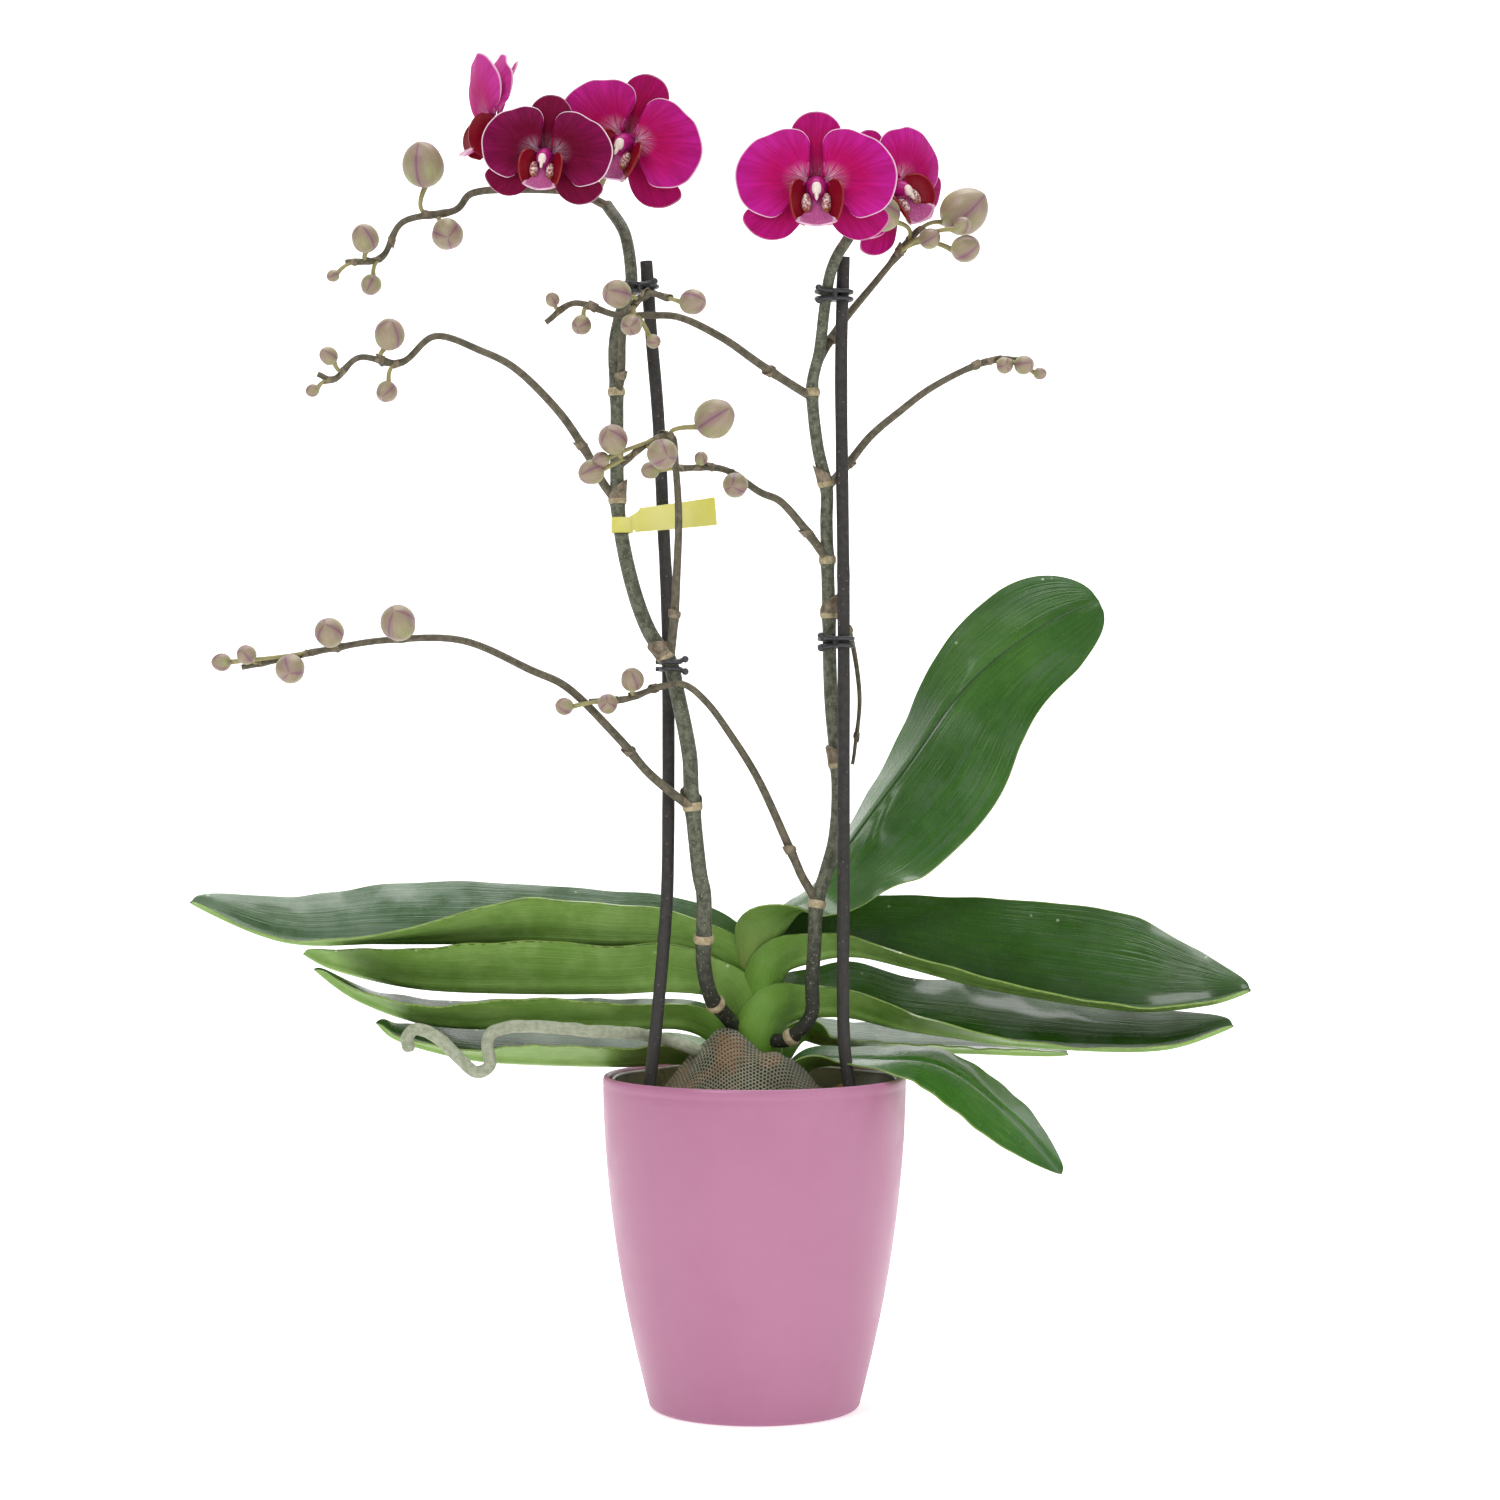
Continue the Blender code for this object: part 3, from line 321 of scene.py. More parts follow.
def build(name: str, patches: Sequence[Patch], finishes: Sequence["Finish"],
          sharp: float = 50.0) -> bpy.types.Object:
    """Join patches into one closed mesh object with a UV map and a "mark" attribute.

    Args:
        name: The piece's name.
        patches: Its grids.
        finishes: Its finishes, in the order of the patches' numbers.
        sharp: Edges sharper than this many degrees stay sharp.

    Returns:
        The object, linked to the scene.
    """
    quads, numbers, start = [], [], 0
    for patch in patches:
        rows, columns = patch.points.shape[:2]
        index = start + np.arange(rows * columns).reshape(rows, columns)
        faces = np.stack([index[:-1, :-1], index[:-1, 1:], index[1:, 1:], index[1:, :-1]], -1)
        quads.append(faces.reshape(-1, 4))
        numbers.append(np.full(len(quads[-1]), patch.finish))
        start += rows * columns
    points = np.vstack([patch.points.reshape(-1, 3) for patch in patches])
    uvs = np.vstack([patch.uv.reshape(-1, 2) for patch in patches])
    marks = np.concatenate([patch.mark.reshape(-1) for patch in patches])
    quads = np.vstack(quads)
    mesh = bpy.data.meshes.new(name)
    mesh.vertices.add(len(points))
    mesh.vertices.foreach_set("co", points.ravel())
    mesh.loops.add(quads.size)
    mesh.loops.foreach_set("vertex_index", quads.ravel())
    mesh.polygons.add(len(quads))
    mesh.polygons.foreach_set("loop_start", np.arange(len(quads)) * 4)
    mesh.polygons.foreach_set("material_index", np.concatenate(numbers))
    mesh.update(calc_edges=True)
    mesh.uv_layers.new(name="UVMap").data.foreach_set("uv", uvs[quads.ravel()].ravel())
    mesh.attributes.new("mark", "FLOAT", "POINT").data.foreach_set("value", marks)
    shape = bmesh.new()
    shape.from_mesh(mesh)
    bmesh.ops.remove_doubles(shape, verts=shape.verts, dist=WELD)
    bmesh.ops.dissolve_degenerate(shape, edges=shape.edges, dist=SLIVER)
    bmesh.ops.recalc_face_normals(shape, faces=shape.faces)
    shape.to_mesh(mesh)
    shape.free()
    for finish in finishes:
        mesh.materials.append(finish.material())
    mesh.shade_smooth()
    mesh.set_sharp_from_angle(angle=math.radians(sharp))
    piece = bpy.data.objects.new(name, mesh)
    bpy.context.scene.collection.objects.link(piece)
    return piece


def place(piece: bpy.types.Object, slot: str, *nodes: str) -> bpy.types.Object:
    """Let a piece ride on the body and hide the CAD nodes it stands for."""
    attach(piece, BODY)
    if nodes:
        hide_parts(*nodes)
    LOG.info("%s: %d faces", piece.name, len(piece.data.polygons))
    return piece


# ---------------------------------------------------------------- finishes


class Canvas:
    """A node tree with short ways to add what these finishes use."""

    def __init__(self, tree: bpy.types.NodeTree) -> None:
        """Keep the tree that nodes are added to."""
        self.tree = tree

    def add(self, kind: str, inputs: dict | None = None, **settings) -> bpy.types.Node:
        """Add a node, set its settings and feed its inputs with values or sockets.

        Args:
            kind: The node's type, without "ShaderNode".
            inputs: Input name or number to value or socket.
            settings: Attributes of the node.

        Returns:
            The node.
        """
        node = self.tree.nodes.new("ShaderNode" + kind)
        for name, value in settings.items():
            setattr(node, name, value)
        for name, value in (inputs or {}).items():
            if isinstance(value, Socket):
                self.tree.links.new(value, node.inputs[name])
            else:
                node.inputs[name].default_value = value
        return node

    def math(self, operation: str, *values: Level) -> Socket:
        """Work out one number from others."""
        return self.add("Math", dict(enumerate(values)), operation=operation).outputs[0]

    def times(self, first: Level, second: Level) -> Socket:
        """Multiply two numbers."""
        return self.math("MULTIPLY", first, second)

    def less(self, first: Level, second: Level) -> Socket:
        """Take the second number from the first."""
        return self.math("SUBTRACT", first, second)

    def mix(self, first: Tone, second: Tone, amount: Level) -> Socket:
        """Mix two colours by an amount from 0 to 1."""
        return self.add("Mix", {0: amount, 6: first, 7: second}, data_type="RGBA").outputs[2]

    def band(self, value: Level, low: float, high: float, to_low: float = 0.0,
             to_high: float = 1.0) -> Socket:
        """Carry a value from one range to another with soft ends."""
        return self.add("MapRange", {0: value, 1: low, 2: high, 3: to_low, 4: to_high},
                        interpolation_type="SMOOTHSTEP").outputs[0]

    def off_half(self, value: Socket) -> Socket:
        """The distance of a value from one half."""
        return self.math("ABSOLUTE", self.less(value, 0.5))

    def noise(self, vector: Socket, scale: Level, detail: float = 3.0,
              rough: float = 0.55) -> Socket:
        """Read a fractal noise."""
        return self.add("TexNoise", {"Vector": vector, "Scale": scale, "Detail": detail,
                                     "Roughness": rough}).outputs[0]


def new_group(name: str, inputs: dict[str, str], outputs: dict[str, str],
              fill: Callable[[Canvas, dict], dict]) -> bpy.types.NodeTree:
    """Build a shader node group once.

    Args:
        name: The group's name.
        inputs: Input names to socket types (Float, Vector, Color).
        outputs: Output names to socket types.
        fill: Adds the nodes, given a canvas and the group's inputs by name, and returns each
            output's socket by name.

    Returns:
        The group.
    """
    tree = bpy.data.node_groups.new(name, "ShaderNodeTree")
    for names, way in ((inputs, "INPUT"), (outputs, "OUTPUT")):
        for label, kind in names.items():
            tree.interface.new_socket(label, in_out=way, socket_type="NodeSocket" + kind)
    enter, leave = (tree.nodes.new("NodeGroup" + end) for end in ("Input", "Output"))
    for label, socket in fill(Canvas(tree), enter.outputs).items():
        tree.links.new(socket, leave.inputs[label])
    return tree


class Effects:
    """Groups that several finishes share: mottle, fibres, and specks."""

    def __init__(self) -> None:
        """Build the groups."""
        cells = {"Vector": "Vector", "Scale": "Float", "Amount": "Float"}
        lines = {"Vector": "Vector", "Count": "Float", "Length": "Float"}
        value = {"Value": "Float"}
        self.mottle = new_group("mottle", {**cells, "Colour": "Color", "Second": "Color"},
                                {"Colour": "Color", **value}, self._mottle)
        self.fibres = new_group("fibres", lines, value, self._fibres)
        self.specks = new_group("specks", cells, value, self._specks)

    @staticmethod
    def _mottle(canvas: Canvas, given: dict) -> dict:
        """Two noises, one five times finer, pick a share of the second colour."""
        coarse = canvas.noise(given["Vector"], given["Scale"])
        fine = canvas.noise(given["Vector"], canvas.times(given["Scale"], 5.0), 2.0)
        value = canvas.math("ADD", canvas.times(coarse, 0.7), canvas.times(fine, 0.3))
        soft = canvas.band(value, 0.36, 0.64)
        share = canvas.times(soft, given["Amount"])
        return {"Colour": canvas.mix(given["Colour"], given["Second"], share), "Value": soft}

    @staticmethod
    def _fibres(canvas: Canvas, given: dict) -> dict:
        """Noise squeezed across and stretched along makes fine parallel lines."""
        parts = canvas.add("SeparateXYZ", {0: given["Vector"]}).outputs
        joined = canvas.add("CombineXYZ", {0: canvas.times(parts[0], given["Count"]),
                                           1: canvas.times(parts[1], given["Length"]),
                                           2: parts[2]})
        return {"Value": canvas.band(canvas.noise(joined.outputs[0], 1.0, 2.0, 0.6), 0.3, 0.7)}

    @staticmethod
    def _specks(canvas: Canvas, given: dict) -> dict:
        """Cells whose centre is near, kept where the cell's own random number is low."""
        cells = canvas.add("TexVoronoi", {k: given[k] for k in ("Vector", "Scale")}).outputs
        near = canvas.band(cells["Distance"], 0.10, 0.26, 1.0, 0.0)
        pick = canvas.add("SeparateColor", {0: cells["Color"]}).outputs[0]
        return {"Value": canvas.times(near, canvas.math("LESS_THAN", pick, given["Amount"]))}


EFFECTS = Effects()


class Coat:
    """A material under way: canvas, coordinates, the colour so far and the shader."""

    def __init__(self, name: str, roughness: float, **sockets: float) -> None:
        """Start a material.

        Args:
            name: The material's name.
            roughness: The shader's roughness.
            sockets: Other constant shader inputs, with _ for a space.
        """
        self.material = bpy.data.materials.new(name)
        self.material.use_nodes = True
        tree = self.material.node_tree
        self.shader = tree.nodes["Principled BSDF"]
        self.canvas = Canvas(tree)
        for label, value in {"Roughness": roughness, **sockets}.items():
            self.shader.inputs[label.replace("_", " ")].default_value = value
        coords = self.canvas.add("TexCoord")
        self.where, self.uv = coords.outputs["Object"], coords.outputs["UV"]
        self.u, self.v = self.canvas.add("SeparateXYZ", {0: self.uv}).outputs[:2]
        self.mark = self.canvas.add("Attribute", attribute_name="mark").outputs["Fac"]

    def shared(self, tree: bpy.types.NodeTree, **inputs: Tone | float) -> dict:
        """Place a shared group, feed its inputs and return its outputs."""
        return self.canvas.add("Group", inputs, node_tree=tree).outputs

    def mottle(self, first: str, second: str, scale: float, amount: float = 1.0) -> Socket:
        """Start the colour as a mottle of two, and return the second's share."""
        given = {"Vector": self.where, "Scale": scale, "Amount": amount}
        self.colour, share = self.shared(EFFECTS.mottle, Colour=linear(first),
                                         Second=linear(second), **given)
        return share

    def fibres(self, count: float, length: float) -> Socket:
        """Place the fibres group on the UV map."""
        return self.shared(EFFECTS.fibres, Vector=self.uv, Count=count, Length=length)[0]

    def specks(self, scale: float, amount: float) -> Socket:
        """Place the specks group on the piece's own space."""
        return self.shared(EFFECTS.specks, Vector=self.where, Scale=scale, Amount=amount)[0]

    def grain(self, scale: float, detail: float = 2.0) -> Socket:
        """Read a noise in the piece's own space."""
        return self.canvas.noise(self.where, scale, detail)

    def cloud(self, scale: float, detail: float, *limits: float) -> Socket:
        """Read a noise in the piece's own space and carry it between limits, as band does."""
        return self.canvas.band(self.grain(scale, detail), *limits)

    def streaks(self, scale: tuple, detail: float) -> Socket:
        """Read a noise in the piece's own space, scaled by three numbers."""
        stretched = self.canvas.add("Mapping", {"Vector": self.where, "Scale": scale})
        return self.canvas.noise(stretched.outputs[0], 1.0, detail)

    def tint(self, code: str, amount: Level, share: float = 1.0) -> None:
        """Lay a colour over the colour so far, as strongly as an amount times a share."""
        if share != 1.0:
            amount = self.canvas.times(amount, share)
        self.colour = self.canvas.mix(self.colour, linear(code), amount)

    def finish(self, height: Socket, strength: float, depth: float = BUMP_DEPTH,
               **sockets: Socket) -> bpy.types.Material:
        """Feed the shader and return the material.

        Args:
            height: What the bump rises with.
            strength: The bump's strength.
            depth: The bump's height in metres.
            sockets: Other shader inputs to link, with _ for a space.

        Returns:
            The material.
        """
        bump = self.canvas.add("Bump", {"Height": height, "Strength": strength,
                                        "Distance": depth})
        links = {"Base Color": self.colour, "Normal": bump.outputs[0], **sockets}
        for label, socket in links.items():
            self.canvas.tree.links.new(socket, self.shader.inputs[label.replace("_", " ")])
        return self.material


class Finish:
    """What every finish can do: give its material, made once."""

    made: dict = {}

    def material(self) -> bpy.types.Material:
        """Return this finish's material."""
        if self not in Finish.made:
            Finish.made[self] = self.paint()
        return Finish.made[self]

    def paint(self) -> bpy.types.Material:
        """Make the material."""
        raise NotImplementedError


@dataclass(frozen=True)
class Plastic(Finish):
    """Moulded plastic: a faint mottle in colour and gloss and a fine orange-peel bump."""

    name: str
    colour: str
    second: str
    roughness: float
    peel: float
    alpha: float = 1.0
    glow: float = 0.0  # light the plastic gives off, for the backdrop

    def paint(self) -> bpy.types.Material:
        """Make the material."""
        coat = Coat(self.name, self.roughness, Alpha=self.alpha, Emission_Strength=self.glow,
                    Emission_Color=WHITE)
        share = coat.mottle(self.colour, self.second, 22.0, 0.8)
        gloss = coat.canvas.band(share, 0, 1, self.roughness - 0.05, self.roughness + 0.07)
        return coat.finish(coat.grain(900.0), self.peel, Roughness=gloss)


@dataclass(frozen=True)
class Bark(Finish):
    """Chopped bark: brown to orange-brown, layered and matte."""

    name: str = "bark"
    dark: str = "5A3A22"
    light: str = "BC7E48"
    scale: float = 90.0

    def paint(self) -> bpy.types.Material:
        """Make the material."""
        coat = Coat(self.name, 0.9)
        coat.mottle(self.dark, self.light, self.scale)
        layers = coat.streaks((400, 400, 1400), 4.0)
        coat.tint("1E140C", coat.canvas.band(layers, 0.55, 0.75, 0.0, 0.6))
        return coat.finish(layers, 0.8, 3 * BUMP_DEPTH)


@dataclass(frozen=True)
class Netting(Finish):
    """Knitted net: round holes at the peaks of three cosines at 60 degrees to each other. Round
    each hole the thread colour turns to a painted dark shade, or to the orange of the bark
    beneath.
    """

    name: str = "net"
    thread: str = "8A8972"
    second: str = "6C6C54"
    holes: float = 620.0  # holes in a metre

    def paint(self) -> bpy.types.Material:
        """Make the material."""
        coat = Coat(self.name, 0.85, Sheen_Weight=0.15)
        canvas = coat.canvas
        turn = 2 * math.pi * self.holes
        waves = []
        for angle in np.radians((0, 60, 120)):
            way = (turn * math.cos(angle), turn * math.sin(angle), 0)
            dot = canvas.add("VectorMath", {0: coat.uv, 1: way}, operation="DOT_PRODUCT")
            waves.append(canvas.math("COSINE", dot.outputs["Value"]))
        total = canvas.math("ADD", canvas.math("ADD", waves[0], waves[1]), waves[2])
        coat.mottle(self.thread, self.second, 60.0)
        # Painted shade: what shows through the holes is painted, dark shade in most places and
        # orange bark where the cloud is high.
        near = coat.cloud(45.0, 2.0, 0.5, 0.64)
        behind = canvas.mix(linear("2C2B22"), linear("AE6C46"), near)
        coat.colour = canvas.mix(coat.colour, behind, canvas.band(total, -0.5, 0.3, 0.0, 0.9))
        return coat.finish(canvas.times(total, -1.0), 0.5,
                           Alpha=canvas.band(total, 1.0, 1.6, 1.0, 0.05))


@dataclass(frozen=True)
class LeafSkin(Finish):
    """A leaf: glossy ribbed upper face with patches of painted blue-grey reflection, paler
    underside, pale edge, and a midrib.

    The UV map's u runs across the leaf and v along it, and the mark is 2 on the underside.
    """

    name: str
    upper: str = "294C0C"
    upper_pale: str = "366218"
    under: str = "6E9240"
    under_pale: str = "8EAE60"
    edge: str = "94A95C"
    painted_reflection: float = 0.25  # how strong the painted blue-grey reflection patches on the upper face are
    sheath: str = "54801E"  # colour near the crown
    foot: tuple = (0.04, 0.24)  # where along the leaf that colour fades out

    def paint(self) -> bpy.types.Material:
        """Make the material."""
        coat = Coat(self.name, 0.3, Specular_IOR_Level=0.2, Coat_Roughness=0.12)
        canvas = coat.canvas
        below = canvas.band(coat.mark, 0.9, 1.1)
        off = canvas.off_half(coat.u)
        rib = canvas.band(off, 0.004, 0.020, 1.0, 0.0)
        veins, broad = coat.fibres(120.0, 7.0), coat.fibres(30.0, 3.0)
        coat.mottle(self.upper, self.upper_pale, 26.0, 0.6)
        coat.tint("1F3D12", veins, 0.4)
        coat.tint("1B3E0C", broad, 0.35)
        # Painted reflection: blue-grey patches where the broad bands meet a cloud stand in for
        # gloss on the upper face.
        patch = coat.cloud(38.0, 3.0, 0.42, 0.62)
        coat.tint("8A9C8C", canvas.times(broad, patch), self.painted_reflection)
        coat.tint("1A3210", rib, 0.75)
        top = coat.colour
        coat.mottle(self.under, self.under_pale, 30.0, 0.8)
        coat.tint("4E7228", veins, 0.28)
        coat.tint("A3BE6C", rib, 0.35)
        coat.colour = canvas.mix(top, coat.colour, below)
        coat.tint(self.sheath, canvas.band(coat.v, *self.foot, 0.85, 0.0))
        coat.tint(self.edge, canvas.band(off, 0.492, 0.4998), 0.6)
        scars = canvas.times(coat.specks(260.0, 0.09), canvas.band(off, 0.34, 0.47))
        coat.tint("C9CDB4", scars, 0.8)
        coat.tint("B7BFA4", coat.specks(900.0, 0.3), 0.10)
        shine = coat.cloud(60.0, 4.0, 0.35, 0.65, 0.20, 0.36)
        rough = canvas.math("ADD", shine, canvas.times(below, 0.16))
        ribs = canvas.math("ADD", canvas.times(veins, 0.5), broad)
        return coat.finish(canvas.less(ribs, canvas.times(scars, 0.6)), 0.34, Roughness=rough,
                           Coat_Weight=canvas.times(canvas.less(1.0, below), 0.4))


@dataclass(frozen=True)
class Rind(Finish):
    """Skin of a stem, root or stake: mottled, lined lengthways, with pale specks."""

    name: str
    colour: str
    second: str
    speck: str
    speck_size: float
    speck_share: float
    lines: float
    roughness: float
    low_colour: str = ""  # colour near the pot, if it differs
    low_reach: tuple = (0.16, 0.24)

    def paint(self) -> bpy.types.Material:
        """Make the material."""
        coat = Coat(self.name, self.roughness, Specular_IOR_Level=0.3)
        canvas = coat.canvas
        coat.mottle(self.colour, self.second, 420.0)
        grain = coat.fibres(self.lines, 60.0)
        coat.tint(self.second, grain, 0.35)
        if self.low_colour:
            height = canvas.add("SeparateXYZ", {0: coat.where}).outputs[2]
            coat.tint(self.low_colour, canvas.band(height, *self.low_reach, 0.9, 0.0))
        dots = coat.specks(self.speck_size, self.speck_share)
        coat.tint(self.speck, dots, 0.55)
        rough = canvas.band(grain, 0, 1, self.roughness - 0.08, self.roughness + 0.12)
        return coat.finish(canvas.less(grain, canvas.times(dots, 0.6)), 0.35, Roughness=rough)


@dataclass(frozen=True)
class Papery(Finish):
    """Dry scales and scars: cream to brown, with fine lengthways lines."""

    name: str
    colour: str
    second: str

    def paint(self) -> bpy.types.Material:
        """Make the material."""
        coat = Coat(self.name, 0.75)
        coat.mottle(self.colour, self.second, 420.0)
        return coat.finish(coat.streaks((2600, 2600, 500), 3.0), 0.6)


@dataclass(frozen=True)
class BudSkin(Finish):
    """A closed bud: cream green, mauve along its seams, with fine veins to the tip.

    The UV map's u runs round the bud, a seam at each third, and v from stalk to tip.
    """

    name: str = "bud"
    colour: str = "979A66"
    blush: str = "9A8078"
    seam: str = "7C5064"

    def paint(self) -> bpy.types.Material:
        """Make the material."""
        coat = Coat(self.name, 0.42, Subsurface_Weight=0.08, Subsurface_Scale=0.002)
        canvas = coat.canvas
        coat.mottle(self.colour, self.blush, 160.0, 0.9)
        coat.tint(self.blush, canvas.band(coat.v, 0.4, 1.0, 0.0, 0.7))
        veins = coat.fibres(34.0, 2.5)
        coat.tint("7C7A48", veins, 0.45)
        off = canvas.off_half(canvas.math("FRACT", canvas.times(coat.u, 3.0)))
        coat.tint(self.seam, canvas.math("ADD", canvas.band(off, 0.22, 0.5, 0.0, 0.55),
                                         canvas.band(off, 0.455, 0.49, 0.0, 0.6)))
        return coat.finish(veins, 0.22)


@dataclass(frozen=True)
class PetalSkin(Finish):
    """A petal or sepal: deep colour with a violet rim, darker veins, pale rays at its foot, and
    pale specks of painted glint.

    The UV map's u runs round the outline and v from foot to edge; the mark is 2 at the back.
    """

    name: str
    heart: str
    rim: str
    vein: str
    back: str
    rays: float
    margin: float
    # Painted glints: how strongly pale specks near the foot stand in for sparkle on a sepal.
    painted_glints: float = 0.0

    def paint(self) -> bpy.types.Material:
        """Make the material."""
        coat = Coat(self.name, 0.55, Specular_IOR_Level=0.06, Subsurface_Weight=0.05,
                    Subsurface_Scale=0.001)
        canvas = coat.canvas
        coat.mottle(self.heart, self.rim, 70.0, 0.35)
        coat.tint(self.rim, canvas.band(coat.v, 0.45, 0.98))
        veins, streaks = coat.fibres(46.0, 1.6), coat.fibres(90.0, 3.0)
        coat.tint(self.vein, veins, 0.45)
        foot = canvas.band(coat.v, 0.02, 0.38, 1.0, 0.0)
        coat.tint("F3D9EC", canvas.times(canvas.times(foot, self.rays),
                                         canvas.band(streaks, 0.25, 0.75, 0.02, 1.0)))
        # Painted glints: sparse pale specks all over stand in for the petals' sparkle.
        coat.tint("F0B6E0", coat.specks(1500.0, 0.35), 0.04)
        if self.painted_glints:
            coat.tint("F6E3DC", canvas.times(coat.specks(1900.0, 0.8), foot), self.painted_glints)
        coat.tint(self.back, canvas.band(coat.mark, 1.4, 1.6), 0.7)
        coat.tint("F5DCEC", canvas.band(coat.v, 0.972, 0.992), self.margin)
        return coat.finish(canvas.less(streaks, canvas.times(veins, 1.4)), 0.3)


@dataclass(frozen=True)
class LipSkin(Finish):
    """The lip's parts: one colour that turns to another at its edge, with spots between."""

    name: str
    colour: str
    edge: str
    spot: str
    spot_share: float
    spot_scale: float
    edge_from: float
    blots: float = 0.0  # share of dark blots between the pale parts
    foot: str = ""  # colour at its lower end, if it differs

    def paint(self) -> bpy.types.Material:
        """Make the material."""
        coat = Coat(self.name, 0.4, Specular_IOR_Level=0.2)
        canvas = coat.canvas
        coat.mottle(self.colour, self.colour, 50.0, 0.0)
        coat.tint("4A0714", coat.fibres(30.0, 4.0), 0.3)
        coat.tint(self.spot, coat.specks(self.spot_scale, self.spot_share))
        if self.blots:
            coat.tint(self.spot, coat.cloud(1150.0, 1.0, 0.45, 0.52), self.blots)
        if self.foot:
            coat.tint(self.foot, canvas.band(coat.v, 0.18, 0.5, 0.85, 0.0))
        coat.tint(self.edge, canvas.band(coat.v, self.edge_from, self.edge_from + 0.08))
        return coat.finish(coat.grain(1800.0), 0.2)


# ---------------------------------------------------------------- pot and bed


POT_HEIGHT, POT_RADIUS, FOOT_RADIUS, POT_SWELL = RIM, 0.064, 0.044, 1.9
POT_WALL, POT_FLOOR, BED_DROP = 0.0024, 0.003, 0.011
BED_TOP = RIM - BED_DROP

POT_PINK = Plastic("pot_plastic", "AC6E8E", "B07493", 0.40, 0.10)
POT_CLEAR = Plastic("grow_pot_plastic", "7E8672", "A4A898", 0.30, 0.05, 0.62)
BARK = Bark()
BARK_PLUG = Bark("bark_plug", "5A4430", "E29A6A", 60.0)
NET = Netting()


def wall(height: Array) -> Array:
    """The pot's outer radius: the foot's plus the spread times 1 - (1 - z/h)^1.9."""
    rise = 1 - np.clip(1 - height / POT_HEIGHT, 0, 1) ** POT_SWELL
    return FOOT_RADIUS + (POT_RADIUS - FOOT_RADIUS) * rise


@dataclass
class CoverPot:
    """The pink cover pot, turned from one profile with a rounded lip and foot."""

    steps: int = 160
    bend: float = 0.003  # radius of the foot's rounded edge
    lip: tuple = ((0.06385, -0.0046), (0.06402, -0.0036), (0.0640, -0.0016),
                  (0.06375, -0.0006), (0.0632, -0.0001), (0.0626, 0.0), (0.0620, -0.0003),
                  (0.0617, -0.0012))  # radius, and height over the rim

    def profile(self) -> Array:
        """Return (radius, height) from the underside's centre, up outside, down inside."""
        turn = np.linspace(0, np.pi / 2, 6)
        edge = float(wall(self.bend)) - self.bend
        foot = join(edge + self.bend * np.sin(turn), self.bend - self.bend * np.cos(turn))
        rise = np.linspace(0.004, POT_HEIGHT - 0.0052, 40)
        outer = join(wall(rise), rise)
        lip = np.array(self.lip) + [0, POT_HEIGHT]
        fall = np.linspace(POT_HEIGHT - 0.003, POT_FLOOR + 0.002, 30)
        inner = join(wall(fall) - POT_WALL, fall)
        floor = np.array([(wall(POT_FLOOR) - POT_WALL - 0.002, POT_FLOOR), (0, POT_FLOOR)])
        under = np.array([(0, 0.0009), (0.034, 0.0009), (0.0355, 0.0)])
        return np.vstack([under, foot, outer, lip, inner, floor])

    def build(self) -> None:
        """Make the pot."""
        patch = turned(self.profile(), self.steps)
        place(build("pot_cover", [patch], [POT_PINK], 60), "pot_plastic", "cover_pot")


@dataclass
class GrowPot:
    """The thin translucent pot inside, whose rim waves a little."""

    gap: float = 0.0010
    depth: float = 0.0008
    bead: float = 0.0008  # radius of the rim's bead
    drop: float = 0.0022  # from the cover pot's rim down to the bead's middle
    steps: int = 120

    def build(self) -> None:
        """Make the pot and give its rim a rolled bead."""
        inset = POT_WALL + self.gap
        low = POT_FLOOR + self.gap
        rise = np.linspace(low + 0.001, RIM - self.drop - 0.0006, 24)
        outer = join(wall(rise) - inset, rise)
        turn = np.linspace(-0.3 * np.pi, 1.1 * np.pi, 9)
        bead = join(wall(RIM) - inset - 0.0007 + self.bead * np.cos(turn),
                    RIM - self.drop + self.bead * np.sin(turn))
        inner = outer[::-1] - [self.depth, 0]
        profile = np.vstack([[(0, low)], outer, bead, inner, [(0, low + self.depth)]])
        patch = turned(profile, self.steps)
        angle = np.arctan2(patch.points[..., 1], patch.points[..., 0])
        high = ease(patch.points[..., 2], RIM - 0.02, RIM)
        patch.points[..., 2] += self.depth * high * (np.sin(3 * angle + 1) + np.sin(7 * angle)) / 2
        place(build("pot_grow", [patch], [POT_CLEAR], 60), "clear_plastic", "grow_pot")


PLUG_CENTRE = np.array([-0.003, 0.0])
PLUG_RADIUS = 0.0395
MOUND_CREST, MOUND_LIFT = 400, 0.0008  # how sharply its lobes meet, and its least height
PLUG_LOBES = ((-0.012, -0.010, 0.0300, 0.0155), (0.009, -0.018, 0.0215, 0.0145),
              (-0.027, -0.007, 0.0165, 0.0120), (0.004, 0.014, 0.0150, 0.0150))


def mound(x: Array, y: Array) -> Array:
    """Height over the bed: a soft maximum of four bell shapes, 0 at the edge."""
    reach = np.clip(np.hypot(x - PLUG_CENTRE[0], y - PLUG_CENTRE[1]) / PLUG_RADIUS, 0, 1)
    lobes = [h * np.exp(-((x - a) ** 2 + (y - b) ** 2) / (2 * s * s)) for a, b, h, s in PLUG_LOBES]
    soft = np.log(sum(np.exp(np.minimum(lobe, 1) * MOUND_CREST) for lobe in lobes)) / MOUND_CREST
    return (soft + MOUND_LIFT) * (1 - reach**5)


CHIP_DENTS = 0.28  # how deep the dents of a chip are, as a share of its size


